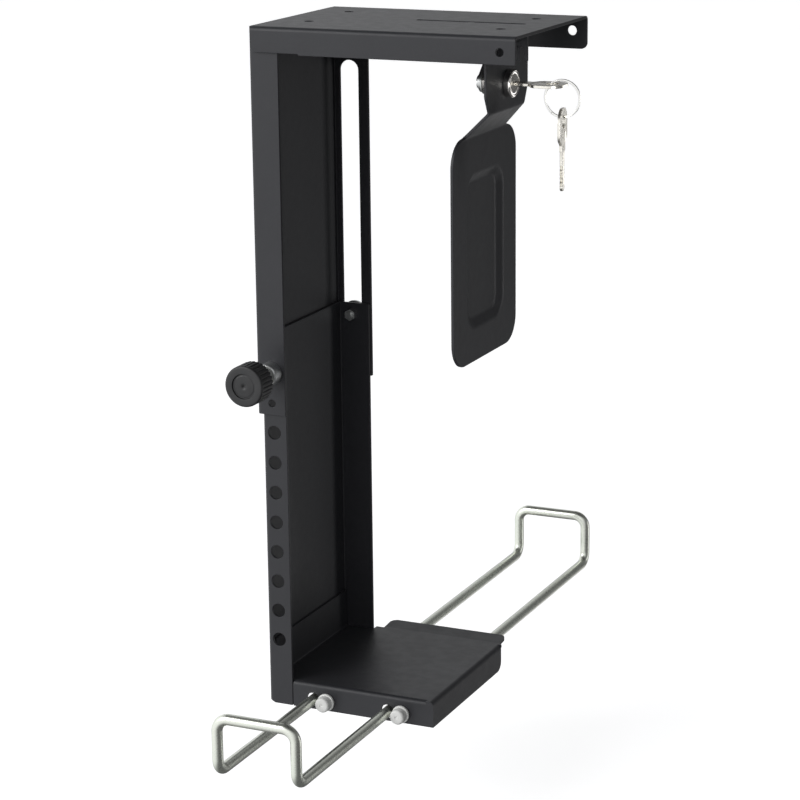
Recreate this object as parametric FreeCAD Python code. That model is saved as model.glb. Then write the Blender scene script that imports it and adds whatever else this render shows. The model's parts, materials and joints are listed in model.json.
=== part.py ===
import FreeCAD, Part
import math
import os

# Under-desk computer holder, in millimetres.
# Origin: centre of the top plate's upper (desk) face. +X runs along the plate towards the lock,
# -Y is the front, +Z is up towards the desk. The screws, the slot and the clamp arm share a centre
# line that lies a little behind the middle of the plate.

V = FreeCAD.Vector

# Sheet metal
SHEET = 2.0
BEND_OUT = 3.0
BEND_IN = 1.0

# Top plate
PLATE_LENGTH = 176.0
PLATE_DEPTH = 122.0
FRONT_LIP = 17.0
REAR_LIP = 21.0
LIP_CORNER = 4.0
FRONT_LIP_STEP_LENGTH = 33.0
FRONT_LIP_STEP = 0.9
SCREW_PITCH_X = 129.0
SCREW_PITCH_Y = 58.0
SCREW_HOLE_D = 6.0
GUIDE_SLOT_WIDTH = 5.0
CENTRE_LINE_Y = 3.5
CROSS_HOLE_X = 78.0
CROSS_HOLE_Z = -9.6
CROSS_HOLE_FRONT_D = 5.0
CROSS_HOLE_REAR_D = 6.2

# Upper post, a channel inside the plate's lips
UPPER_BOTTOM = -247.0
UPPER_FRONT_FLANGE = 20.0
UPPER_REAR_FLANGE = 26.5
POST_BEND_OUT = 2.5
POST_BEND_IN = 0.5
LOCATING_HOLE_D = 5.0

# Lower post, a narrower channel that slides inside the upper one
POST_GAP_X = 0.4
POST_GAP_Y = 0.25
LOWER_TOP = -197.0
LOWER_BOTTOM = -444.0
LOWER_FRONT_FLANGE = 17.0
LOWER_REAR_FLANGE = 23.2
LOWER_CORNER_CUT = 5.0
HEIGHT_PITCH = 20.0
HEIGHT_HOLES = 10
HEIGHT_HOLE_D = 9.0

# Knob, on one line with the height holes
KNOB_X = -79.4
KNOB_Z = -219.4
KNOB_FEED = 5.0
KNOB_HEAD_D = 26.5
KNOB_HEAD_LENGTH = 16.0
KNOB_NECK_D = 16.0
KNOB_NECK_LENGTH = 7.0
KNOB_GROOVES = 30
KNOB_GROOVE_D = 1.3
KNOB_FACE_RIM = 2.2
KNOB_CAP_D = 16.0
KNOB_CAP_SEAT = 1.4
KNOB_CAP_PLUG_D = 13.0
KNOB_CAP_PLUG_DEPTH = 4.0
STUD_IN_NECK = 6.0
STUD_D = 7.8
BOSS_D = 15.0
BOSS_LENGTH = 9.0
BOSS_SPIGOT_D = 11.0
BOSS_BORE_D = 8.0
PIN_D = 6.5

# Guide screw of the lower post, in the upper post's rear slot
SLOT_X = -77.3
GUIDE_Z = -205.0
REAR_SLOT_WIDTH = 13.2
REAR_SLOT_TOP = -34.5
REAR_SLOT_BOTTOM = -211.8
SLEEVE_D = 12.8
GUIDE_SCREW_D = 4.0
GUIDE_SCREW_HEAD_D = 17.0
GUIDE_SCREW_HEAD = 3.2
GUIDE_SCREW_CROSS_DEPTH = 1.8
GUIDE_NUT_ACROSS = 7.0
GUIDE_NUT_T = 3.2
SLEEVE_STANDOUT = 0.4

# Base tray
TRAY_TOP = -426.6
TRAY_RIGHT = 30.0
TRAY_LIP_REACH = 13.0
TRAY_LIP_RISE = 1.2
TRAY_LIP_CORNER = 5.0
TRAY_LIP_START = 5.5
TRAY_GAP = 0.6
TRAY_TAB_RISE = 26.0
TRAY_TAB_REACH = 12.0
TRAY_SIDE_CORNER = 6.0
TRAY_SIDE_END = 3.0
TRAY_SIDE_REACH = 5.0
ROD_HOLE_D = 9.6
GUIDE_HOLE_D = 7.6

# Wire brackets
ROD_D = 7.0
ROD_Z = -437.8
ROD_RISE = 35.5
ROD_BEND = 8.5
LEG_SPACING = 53.5
FRONT_LEG_X = -55.6
REAR_LEG_X = -45.9
FRONT_BAR_Y = -187.0
REAR_BAR_Y = 280.0
ROD_GUIDE_FACE = 48.0
ROD_GUIDE_SHELF = 14.0
CAP_D = 9.9
CAP_RIM_D = 11.6
CAP_RIM_LENGTH = 2.0
CAP_LENGTH = 8.0
CAP_FLOOR = 1.5
CAP_CLEARANCE = 0.1

# Clamp arm
ARM_X = 57.0
ARM_HALF_WIDTH = 33.7
LEG_END_X = -48.0
LEG_TOP = -5.2
LEG_HALF_WIDTH = 14.0
KEEPER_LEFT = -40.0
KEEPER_RIGHT = -7.0
KEEPER_FOOT = 11.0
SHOULDER_TOP = -12.0
RACK_GAP_BOTTOM = -21.5
RACK_GAP_REACH = 21.5
UPPER_CREASE = -52.5
PAD_X = 42.0
LOWER_CREASE = -68.0
CRANK_TOP_HALF_WIDTH = 28.0
CRANK_FOOT_HALF_WIDTH = 32.0
CRANK_START = -41.5
PAD_BOTTOM = -210.5
PAD_HALF_WIDTH = 51.0
PAD_CORNER = 17.0
RECESS_DEPTH = 3.5
RECESS_TOP = -91.0
RECESS_BOTTOM = -189.5
RECESS_HALF_WIDTH = 29.5
RECESS_SLOPE = 6.0
RECESS_CORNER = 14.0
STUD_X = 32.5
GUIDE_STUD_D = 4.6
STUD_SHOULDER_D = 9.0
STUD_SHANK_D = 6.0
STUD_RIVET_D = 8.0
STUD_RIVET_T = 1.2
ARM_TRAVEL = 34.0
NOTCH_PITCH = 8.5

# Cam lock, centred on the arm
LOCK_Z = -36.6
LOCK_HEAD_D = 17.5
LOCK_HEAD_LENGTH = 5.0
BARREL_D = 15.8
BARREL_LENGTH = 14.0
PLUG_D = 12.0
LOCK_NUT_ACROSS = 21.0
LOCK_NUT_T = 4.0
STOP_WASHER_D = 15.0
STOP_WASHER_T = 1.2
CAM_X = 39.3
CAM_REACH = 27.5
CAM_ANGLE = 41.5
CAM_HALF_WIDTH = 6.5
CAM_NOSE_HALF_WIDTH = 4.0
CAM_NOSE = 8.0
CAM_SCREW_D = 4.0
CAM_SCREW_HEAD = 1.6
CAM_SCREW_HEAD_D = 8.4
CAM_SQUARE = 6.0
CAM_SQUARE_GAP = 0.05
WAFERS = 5
WAFER_PITCH = 2.6
WAFER_T = 1.1
WAFER_HALF_WIDTH = 4.8
WAFER_HALF_HEIGHT = 3.4
FIRST_WAFER = 3.7

# Rack strip that the cam locks into
RACK_Y = -18.0
RACK_FLANGE = 12.0
RACK_END = 2.5
RACK_BOTTOM = -20.0
RACK_NOTCH_TOP = -11.5
RACK_NOTCH_WIDTH = 2.6

# Keys and ring
KEY_T = 1.8
KEY_BLADE_W = 7.0
KEY_TIP_X = 43.9
KEY_BLADE_LENGTH = 26.7
KEY_BOW_LENGTH = 24.8
KEY_BOW_W = 22.0
KEY_HOLE_D = 8.0
KEY_WEB = 4.6
KEY_SHOULDER = 1.6
KEY_SHOULDER_LENGTH = 4.5
KEY_BOW_START = 6.0
FIRST_BITTING = 4.2
RING_R = 11.3
RING_WIRE_D = 1.4
SPARE_KEY_TURN = 9.0
RING_Z = LOCK_Z - 7.9

# Places worked out from the sizes above
HALF_LENGTH = PLATE_LENGTH / 2
HALF_DEPTH = PLATE_DEPTH / 2
POST_OUT_Y = HALF_DEPTH - SHEET
POST_IN_Y = POST_OUT_Y - SHEET
UPPER_X = -HALF_LENGTH - SHEET
LOWER_X = UPPER_X + SHEET + POST_GAP_X
LOWER_OUT_Y = POST_IN_Y - POST_GAP_Y
LOWER_IN_Y = LOWER_OUT_Y - SHEET
TRAY_LEFT = LOWER_X + SHEET
TRAY_UNDER = TRAY_TOP - SHEET
TRAY_INSIDE_Y = LOWER_IN_Y - 0.25
GUIDE_SEAT_Y = POST_OUT_Y + SLEEVE_STANDOUT
BOSS_FRONT = -POST_OUT_Y - BOSS_LENGTH
WASHER_T = 1.0
WASHER_FRONT = BOSS_FRONT - KNOB_FEED - WASHER_T - 0.05
KNOB_BACK = WASHER_FRONT - 0.05
KNOB_SHOULDER = KNOB_BACK - KNOB_NECK_LENGTH
KNOB_FACE = KNOB_SHOULDER - KNOB_HEAD_LENGTH
PIN_START = BOSS_FRONT + BOSS_LENGTH - 1
LOCK_FACE = ARM_X + LOCK_HEAD_LENGTH
KEY_END_X = KEY_TIP_X + KEY_BLADE_LENGTH + KEY_BOW_LENGTH
PLUG_BACK = CAM_X + SHEET + STOP_WASHER_T + 0.1
FRONT_TIP_Y = ROD_GUIDE_FACE + CAP_CLEARANCE + CAP_LENGTH - CAP_FLOOR
REAR_TIP_Y = -LOWER_OUT_Y - CAP_CLEARANCE - CAP_LENGTH + CAP_FLOOR


def box(x0, x1, y0, y1, z0, z1):
    return Part.makeBox(x1 - x0, y1 - y0, z1 - z0, V(x0, y0, z0))


def rod(start, direction, radius, length):
    return Part.makeCylinder(radius, length, start, direction)


def along_x(x0, x1, y, z, diameter):
    return rod(V(x0, y, z), V(1, 0, 0), diameter / 2, x1 - x0)


def along_y(y0, y1, x, z, diameter):
    return rod(V(x, y0, z), V(0, 1, 0), diameter / 2, y1 - y0)


def along_z(z0, z1, x, y, diameter):
    return rod(V(x, y, z0), V(0, 0, 1), diameter / 2, z1 - z0)


def rounded_wire(corners, place):
    """Closed outline through corners (u, v, radius); place(u, v) puts a point in space."""
    edges = []
    ends = []
    count = len(corners)
    for i in range(count):
        u, v, radius = corners[i]
        before = corners[i - 1]
        after = corners[(i + 1) % count]
        here = V(u, v, 0)
        to_before = (V(before[0], before[1], 0) - here).normalize()
        to_after = (V(after[0], after[1], 0) - here).normalize()
        if radius == 0:
            ends.append((here, None, here))
            continue
        half = to_before.getAngle(to_after) / 2
        reach = radius / math.tan(half)
        middle = (to_before + to_after).normalize() * (radius / math.sin(half) - radius)
        ends.append((here + to_before * reach, here + middle, here + to_after * reach))
    for i in range(count):
        start, mid, stop = ends[i]
        if mid is not None:
            edges.append(Part.Arc(place(start), place(mid), place(stop)).toShape())
        following = ends[(i + 1) % count][0]
        if (following - stop).Length > 1e-6:
            edges.append(Part.LineSegment(place(stop), place(following)).toShape())
    return Part.Wire(edges)


def prism_x(corners, x0, x1):
    """Outline in (y, z), drawn out along X."""
    wire = rounded_wire(corners, lambda p: V(x0, p.x, p.y))
    return Part.Face(wire).extrude(V(x1 - x0, 0, 0))


def prism_y(corners, y0, y1):
    """Outline in (x, z), drawn out along Y."""
    wire = rounded_wire(corners, lambda p: V(p.x, y0, p.y))
    return Part.Face(wire).extrude(V(0, y1 - y0, 0))


def prism_z(corners, z0, z1):
    """Outline in (x, y), drawn out along Z."""
    wire = rounded_wire(corners, lambda p: V(p.x, p.y, z0))
    return Part.Face(wire).extrude(V(0, 0, z1 - z0))


def rectangle(u0, u1, v0, v1, radius):
    return [(u0, v0, radius), (u1, v0, radius), (u1, v1, radius), (u0, v1, radius)]


def on_centre_line(shape):
    """Move a piece modelled about Y = 0 to the centre line of the screws and the arm."""
    shape.translate(V(0, CENTRE_LINE_Y, 0))
    return shape


def leg_places(first):
    return [first, first + LEG_SPACING]


def screw_places():
    half_x = SCREW_PITCH_X / 2
    half_y = SCREW_PITCH_Y / 2
    return [(sx * half_x, CENTRE_LINE_Y + sy * half_y) for sx in (-1, 1) for sy in (-1, 1)]


def top_plate():
    """Bent sheet: flat top, front and rear lips, desk screw holes and the arm's guide slot."""
    section = [
        (-HALF_DEPTH, -FRONT_LIP, 0),
        (-HALF_DEPTH, 0, BEND_OUT),
        (HALF_DEPTH, 0, BEND_OUT),
        (HALF_DEPTH, -REAR_LIP, 0),
        (HALF_DEPTH - SHEET, -REAR_LIP, 0),
        (HALF_DEPTH - SHEET, -SHEET, BEND_IN),
        (-HALF_DEPTH + SHEET, -SHEET, BEND_IN),
        (-HALF_DEPTH + SHEET, -FRONT_LIP, 0),
    ]
    plate = prism_x(section, -HALF_LENGTH, HALF_LENGTH)
    step_end = -HALF_LENGTH + FRONT_LIP_STEP_LENGTH
    front_side = prism_y(
        [
            (-HALF_LENGTH, 5, 0),
            (HALF_LENGTH, 5, 0),
            (HALF_LENGTH, -FRONT_LIP, 0.8),
            (step_end, -FRONT_LIP, 0.4),
            (step_end, -FRONT_LIP + FRONT_LIP_STEP, 0.4),
            (-HALF_LENGTH, -FRONT_LIP + FRONT_LIP_STEP, LIP_CORNER),
        ],
        -HALF_DEPTH - 1,
        0,
    )
    rear_side = prism_y(
        [
            (-HALF_LENGTH, 5, 0),
            (HALF_LENGTH, 5, 0),
            (HALF_LENGTH, -REAR_LIP, LIP_CORNER),
            (-HALF_LENGTH, -REAR_LIP, LIP_CORNER),
        ],
        0,
        HALF_DEPTH + 1,
    )
    plate = plate.common(front_side.fuse(rear_side))
    for x, y in screw_places():
        plate = plate.cut(along_z(-10, 5, x, y, SCREW_HOLE_D))
    slot_end = ARM_TRAVEL + GUIDE_STUD_D / 2 + 0.2
    slot_half = GUIDE_SLOT_WIDTH / 2
    slot = rectangle(STUD_X - slot_end, STUD_X + slot_end, -slot_half, slot_half, slot_half - 0.01)
    plate = plate.cut(on_centre_line(prism_z(slot, -10, 5)))
    front_hole = along_y(-HALF_DEPTH - 5, 0, CROSS_HOLE_X, CROSS_HOLE_Z, CROSS_HOLE_FRONT_D)
    rear_hole = along_y(0, HALF_DEPTH + 5, CROSS_HOLE_X, CROSS_HOLE_Z, CROSS_HOLE_REAR_D)
    return plate.cut(front_hole).cut(rear_hole).removeSplitter()


def channel(web_x, out_y, front_width, rear_width, z0, z1):
    """Channel opening towards +X: web on the left, a flange at the front and one at the rear."""
    in_y = out_y - SHEET
    outline = [
        (web_x, -out_y, POST_BEND_OUT),
        (web_x + front_width, -out_y, 0),
        (web_x + front_width, -in_y, 0),
        (web_x + SHEET, -in_y, POST_BEND_IN),
        (web_x + SHEET, in_y, POST_BEND_IN),
        (web_x + rear_width, in_y, 0),
        (web_x + rear_width, out_y, 0),
        (web_x, out_y, POST_BEND_OUT),
    ]
    return prism_z(outline, z0, z1)


def upper_post():
    """Channel welded to the plate: its web closes the plate's left end, its flanges lie inside the lips."""
    web_top = -0.4
    flange_top = -SHEET - BEND_IN - 0.2
    post = channel(UPPER_X, POST_OUT_Y, UPPER_FRONT_FLANGE, UPPER_REAR_FLANGE, UPPER_BOTTOM, web_top)
    post = post.cut(box(-HALF_LENGTH, 0, -HALF_DEPTH, HALF_DEPTH, flange_top, 5))
    slot_half = REAR_SLOT_WIDTH / 2
    slot = rectangle(
        SLOT_X - slot_half, SLOT_X + slot_half, REAR_SLOT_BOTTOM, REAR_SLOT_TOP, slot_half - 0.01
    )
    post = post.cut(prism_y(slot, 0, HALF_DEPTH + 5))
    post = post.cut(along_y(-HALF_DEPTH, 0, KNOB_X, KNOB_Z, BOSS_SPIGOT_D))
    post = post.cut(along_y(-HALF_DEPTH, 0, KNOB_X, KNOB_Z - HEIGHT_PITCH, LOCATING_HOLE_D))
    return post.removeSplitter()


def slide_keeper():
    """Hat-shaped strap under the plate that carries the arm's flat leg."""
    inner = LEG_HALF_WIDTH + 0.3
    outer = inner + SHEET
    foot = outer + KEEPER_FOOT
    top = -SHEET
    floor_top = LEG_TOP - SHEET - 0.2
    section = [
        (-foot, top, 0),
        (-inner, top, BEND_OUT),
        (-inner, floor_top, 0.6),
        (inner, floor_top, 0.6),
        (inner, top, BEND_OUT),
        (foot, top, 0),
        (foot, top - SHEET, 0),
        (outer, top - SHEET, BEND_IN),
        (outer, floor_top - SHEET, 1.6),
        (-outer, floor_top - SHEET, 1.6),
        (-outer, top - SHEET, BEND_IN),
        (-foot, top - SHEET, 0),
    ]
    return on_centre_line(prism_x(section, KEEPER_LEFT, KEEPER_RIGHT))


def lock_rack():
    """Angle strip welded under the plate; its hanging edge has a notch for each lock position."""
    start = CAM_X - ARM_TRAVEL - RACK_END
    stop = CAM_X + SHEET + ARM_TRAVEL + RACK_END
    section = [
        (RACK_Y - SHEET, RACK_BOTTOM, 0),
        (RACK_Y, RACK_BOTTOM, 0),
        (RACK_Y, -2 * SHEET, BEND_IN),
        (RACK_Y + RACK_FLANGE, -2 * SHEET, 0),
        (RACK_Y + RACK_FLANGE, -SHEET, 0),
        (RACK_Y - SHEET, -SHEET, BEND_OUT),
    ]
    rack = prism_x(section, start, stop)
    middle = CAM_X + SHEET / 2
    half = RACK_NOTCH_WIDTH / 2
    steps = int(ARM_TRAVEL / NOTCH_PITCH)
    for step in range(-steps, steps + 1):
        x = middle + step * NOTCH_PITCH
        notch = rectangle(x - half, x + half, RACK_BOTTOM - 5, RACK_NOTCH_TOP, half - 0.05)
        rack = rack.cut(prism_y(notch, RACK_Y - SHEET - 1, RACK_Y + 1))
    return on_centre_line(rack)


def knob_boss():
    """Threaded bush riveted in the upper post's front flange."""
    flange = along_y(BOSS_FRONT, -POST_OUT_Y, KNOB_X, KNOB_Z, BOSS_D)
    flange = flange.makeChamfer(0.8, [e for e in flange.Edges if abs(e.BoundBox.YMax - BOSS_FRONT) < 0.01])
    spigot = along_y(-POST_OUT_Y, -POST_IN_Y, KNOB_X, KNOB_Z, BOSS_SPIGOT_D)
    bore = along_y(BOSS_FRONT - 1, 0, KNOB_X, KNOB_Z, BOSS_BORE_D)
    return flange.fuse(spigot).cut(bore).removeSplitter()


def lower_post():
    """Sliding channel with the row of height holes and the guide screw's hole."""
    post = channel(LOWER_X, LOWER_OUT_Y, LOWER_FRONT_FLANGE, LOWER_REAR_FLANGE, LOWER_BOTTOM, LOWER_TOP)
    chamfer = prism_y(
        [
            (LOWER_X - 1, LOWER_BOTTOM + LOWER_CORNER_CUT, 0),
            (LOWER_X + LOWER_CORNER_CUT, LOWER_BOTTOM - 1, 0),
            (LOWER_X - 1, LOWER_BOTTOM - 1, 0),
        ],
        -HALF_DEPTH,
        HALF_DEPTH,
    )
    post = post.cut(chamfer)
    for i in range(HEIGHT_HOLES):
        z = KNOB_Z - i * HEIGHT_PITCH
        post = post.cut(along_y(-HALF_DEPTH, 0, KNOB_X, z, HEIGHT_HOLE_D))
    post = post.cut(along_y(0, HALF_DEPTH, SLOT_X, GUIDE_Z, GUIDE_SCREW_D + 0.2))
    return post.removeSplitter()


def tray_shelf():
    """Level sheet with the front edge folded down and a low lip along the rear edge."""
    front_x = LOWER_X + LOWER_FRONT_FLANGE + TRAY_GAP
    rear_x = LOWER_X + LOWER_REAR_FLANGE + TRAY_GAP
    rear_lip = HALF_DEPTH + TRAY_LIP_REACH
    section = [
        (-LOWER_OUT_Y, LOWER_BOTTOM, 0),
        (-LOWER_OUT_Y, TRAY_TOP, BEND_OUT),
        (HALF_DEPTH, TRAY_TOP, 0.8),
        (rear_lip, TRAY_TOP + TRAY_LIP_RISE, 0),
        (rear_lip, TRAY_TOP + TRAY_LIP_RISE - SHEET, 0),
        (HALF_DEPTH, TRAY_UNDER, 1.2),
        (-LOWER_OUT_Y + SHEET, TRAY_UNDER, BEND_IN),
        (-LOWER_OUT_Y + SHEET, LOWER_BOTTOM, 0),
    ]
    shelf = prism_x(section, front_x, TRAY_RIGHT)
    shelf = shelf.cut(box(front_x - 1, rear_x, TRAY_INSIDE_Y, rear_lip + 1, LOWER_BOTTOM - 1, TRAY_TOP + 5))
    plan = prism_z(
        [
            (front_x - 1, -HALF_DEPTH - 5, 0),
            (TRAY_RIGHT + 1, -HALF_DEPTH - 5, 0),
            (TRAY_RIGHT + 1, HALF_DEPTH - TRAY_SIDE_END, 0),
            (TRAY_RIGHT - 2.5, HALF_DEPTH, 0),
            (TRAY_RIGHT - 2.5, rear_lip, TRAY_LIP_CORNER),
            (rear_x + TRAY_LIP_START, rear_lip, TRAY_LIP_CORNER),
            (rear_x + TRAY_LIP_START, HALF_DEPTH - 1.5, 0),
            (front_x - 1, HALF_DEPTH - 1.5, 0),
        ],
        LOWER_BOTTOM - 1,
        TRAY_TOP + 5,
    )
    folded = box(
        TRAY_RIGHT - TRAY_SIDE_REACH, TRAY_RIGHT + 1, -LOWER_OUT_Y + SHEET + BEND_IN,
        HALF_DEPTH - TRAY_SIDE_END, LOWER_BOTTOM - 1, TRAY_TOP + 5
    )
    return shelf.common(plan).cut(folded)


def tray_weld_tab():
    """Tab turned up against the lower post's web, and the level sheet between it and the shelf."""
    rear_x = LOWER_X + LOWER_REAR_FLANGE + TRAY_GAP
    tab_half = LOWER_IN_Y - 2
    tab = prism_y(
        [
            (TRAY_LEFT, TRAY_TOP + TRAY_TAB_RISE, 0),
            (TRAY_LEFT, TRAY_UNDER, BEND_OUT),
            (TRAY_LEFT + TRAY_TAB_REACH, TRAY_UNDER, 0),
            (TRAY_LEFT + TRAY_TAB_REACH, TRAY_TOP, 0),
            (TRAY_LEFT + SHEET, TRAY_TOP, BEND_IN),
            (TRAY_LEFT + SHEET, TRAY_TOP + TRAY_TAB_RISE, 0),
        ],
        -tab_half,
        tab_half,
    )
    level_x = TRAY_LEFT + SHEET + BEND_IN
    level = box(level_x, rear_x, -TRAY_INSIDE_Y, TRAY_INSIDE_Y, TRAY_UNDER, TRAY_TOP)
    return tab.fuse(level)


def tray_side():
    """Right edge folded down, its free rear corner rounded."""
    start = TRAY_RIGHT - TRAY_SIDE_REACH
    stop_y = HALF_DEPTH - TRAY_SIDE_END
    fold = prism_y(
        [
            (start, TRAY_TOP, 0),
            (TRAY_RIGHT, TRAY_TOP, BEND_OUT),
            (TRAY_RIGHT, LOWER_BOTTOM, 0),
            (TRAY_RIGHT - SHEET, LOWER_BOTTOM, 0),
            (TRAY_RIGHT - SHEET, TRAY_UNDER, BEND_IN),
            (start, TRAY_UNDER, 0),
        ],
        -LOWER_OUT_Y,
        stop_y,
    )
    face = prism_x(
        [
            (-LOWER_OUT_Y, LOWER_BOTTOM, 0),
            (-LOWER_OUT_Y, TRAY_TOP + 1, 0),
            (stop_y, TRAY_TOP + 1, 0),
            (stop_y, LOWER_BOTTOM, TRAY_SIDE_CORNER),
        ],
        start - 1,
        TRAY_RIGHT + 1,
    )
    return fold.common(face)


def base_tray():
    """Shelf sheet welded in the lower post, with clearance holes for the wire legs."""
    tray = tray_shelf().fuse([tray_weld_tab(), tray_side()])
    round_x = TRAY_RIGHT - BEND_OUT
    round_z = TRAY_TOP - BEND_OUT
    corner = box(round_x, TRAY_RIGHT + 1, -HALF_DEPTH, HALF_DEPTH - TRAY_SIDE_END, round_z, TRAY_TOP + 1)
    round_top = along_y(-HALF_DEPTH, HALF_DEPTH, round_x, round_z, 2 * BEND_OUT)
    tray = tray.cut(corner.cut(round_top))
    for x in leg_places(FRONT_LEG_X) + leg_places(REAR_LEG_X):
        tray = tray.cut(along_y(-HALF_DEPTH - 5, 0, x, ROD_Z, ROD_HOLE_D))
    return tray.removeSplitter()


def rod_guide():
    """Angle welded under the tray near its rear edge; four holes guide the wire legs."""
    face = ROD_GUIDE_FACE
    section = [
        (face, LOWER_BOTTOM, 0),
        (face, TRAY_UNDER, BEND_OUT),
        (face - ROD_GUIDE_SHELF, TRAY_UNDER, 0),
        (face - ROD_GUIDE_SHELF, TRAY_UNDER - SHEET, 0),
        (face - SHEET, TRAY_UNDER - SHEET, BEND_IN),
        (face - SHEET, LOWER_BOTTOM, 0),
    ]
    guide = prism_x(section, LOWER_X + LOWER_REAR_FLANGE + 1, TRAY_RIGHT - SHEET - 4)
    for x in leg_places(FRONT_LEG_X) + leg_places(REAR_LEG_X):
        guide = guide.cut(along_y(0, HALF_DEPTH, x, ROD_Z, GUIDE_HOLE_D))
    return guide


def guide_sleeve():
    """Plastic bush that runs in the upper post's rear slot."""
    sleeve = along_y(LOWER_OUT_Y, GUIDE_SEAT_Y, SLOT_X, GUIDE_Z, SLEEVE_D)
    return sleeve.cut(along_y(0, HALF_DEPTH + 5, SLOT_X, GUIDE_Z, GUIDE_SCREW_D + 0.2))


def guide_screw():
    """Pan-head screw with a wide washer face that keeps the two channels together."""
    face = GUIDE_SEAT_Y + GUIDE_SCREW_HEAD
    head = along_y(GUIDE_SEAT_Y, face, SLOT_X, GUIDE_Z, GUIDE_SCREW_HEAD_D)
    head = head.makeFillet(1.4, [e for e in head.Edges if abs(e.BoundBox.YMin - face) < 0.01])
    shank = along_y(LOWER_IN_Y - GUIDE_NUT_T - 1.3, GUIDE_SEAT_Y, SLOT_X, GUIDE_Z, GUIDE_SCREW_D)
    half_blade = 0.75
    reach = 3.4
    floor = face - GUIDE_SCREW_CROSS_DEPTH
    for dx, dz in ((reach, half_blade), (half_blade, reach)):
        head = head.cut(box(SLOT_X - dx, SLOT_X + dx, floor, face + 1, GUIDE_Z - dz, GUIDE_Z + dz))
    return head.fuse(shank).removeSplitter()


def guide_nut():
    """Hexagon nut of the guide screw, inside the lower post, a flat towards the web."""
    corner = GUIDE_NUT_ACROSS / 2 / math.cos(math.radians(30))
    hexagon = []
    for i in range(6):
        angle = math.radians(60 * i + 30)
        hexagon.append((SLOT_X + corner * math.cos(angle), GUIDE_Z + corner * math.sin(angle), 0))
    nut = prism_y(hexagon, LOWER_IN_Y - GUIDE_NUT_T, LOWER_IN_Y)
    return nut.cut(along_y(0, HALF_DEPTH, SLOT_X, GUIDE_Z, GUIDE_SCREW_D + 0.1))


def wire_bracket(first_leg, bar_y, tip_y):
    """Round rod bent to a U: two level legs, upturned at one end and joined by a crossbar."""
    left, right = leg_places(first_leg)
    top = ROD_Z + ROD_RISE
    outward = 1 if bar_y > tip_y else -1
    points = [
        V(left, tip_y, ROD_Z),
        V(left, bar_y, ROD_Z),
        V(left, bar_y, top),
        V(right, bar_y, top),
        V(right, bar_y, ROD_Z),
        V(right, tip_y, ROD_Z),
    ]
    edges = []
    start = points[0]
    for i in range(1, len(points) - 1):
        here = points[i]
        back = (points[i - 1] - here).normalize()
        on = (points[i + 1] - here).normalize()
        enter = here + back * ROD_BEND
        leave = here + on * ROD_BEND
        middle = here + (back + on) * (ROD_BEND * (1 - math.sqrt(0.5)))
        edges.append(Part.LineSegment(start, enter).toShape())
        edges.append(Part.Arc(enter, middle, leave).toShape())
        start = leave
    edges.append(Part.LineSegment(start, points[-1]).toShape())
    spine = Part.Wire(edges)
    section = Part.Wire(Part.makeCircle(ROD_D / 2, points[0], V(0, outward, 0)))
    return spine.makePipeShell([section], True, False)


def wire_cap(x, tip_y, outward):
    """Plastic end cap pushed on a leg, with a rim that stops the leg at its flange."""
    rim_y = tip_y - outward * (CAP_LENGTH - CAP_FLOOR)
    y0, y1 = sorted((rim_y, rim_y + outward * CAP_LENGTH))
    cap = along_y(y0, y1, x, ROD_Z, CAP_D)
    tip_face = rim_y + outward * CAP_LENGTH
    cap = cap.makeFillet(1.2, [e for e in cap.Edges if abs(e.BoundBox.Center.y - tip_face) < 0.01
                               and e.BoundBox.YLength < 0.01])
    r0, r1 = sorted((rim_y, rim_y + outward * CAP_RIM_LENGTH))
    cap = cap.fuse(along_y(r0, r1, x, ROD_Z, CAP_RIM_D))
    b0, b1 = sorted((rim_y - outward, tip_y))
    return cap.cut(along_y(b0, b1, x, ROD_Z, ROD_D)).removeSplitter()


def front_wire():
    return wire_bracket(FRONT_LEG_X, FRONT_BAR_Y, FRONT_TIP_Y)


def rear_wire():
    return wire_bracket(REAR_LEG_X, REAR_BAR_Y, REAR_TIP_Y)


def front_wire_caps():
    return Part.makeCompound([wire_cap(x, FRONT_TIP_Y, 1) for x in leg_places(FRONT_LEG_X)])


def rear_wire_caps():
    return Part.makeCompound([wire_cap(x, REAR_TIP_Y, -1) for x in leg_places(REAR_LEG_X)])


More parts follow.
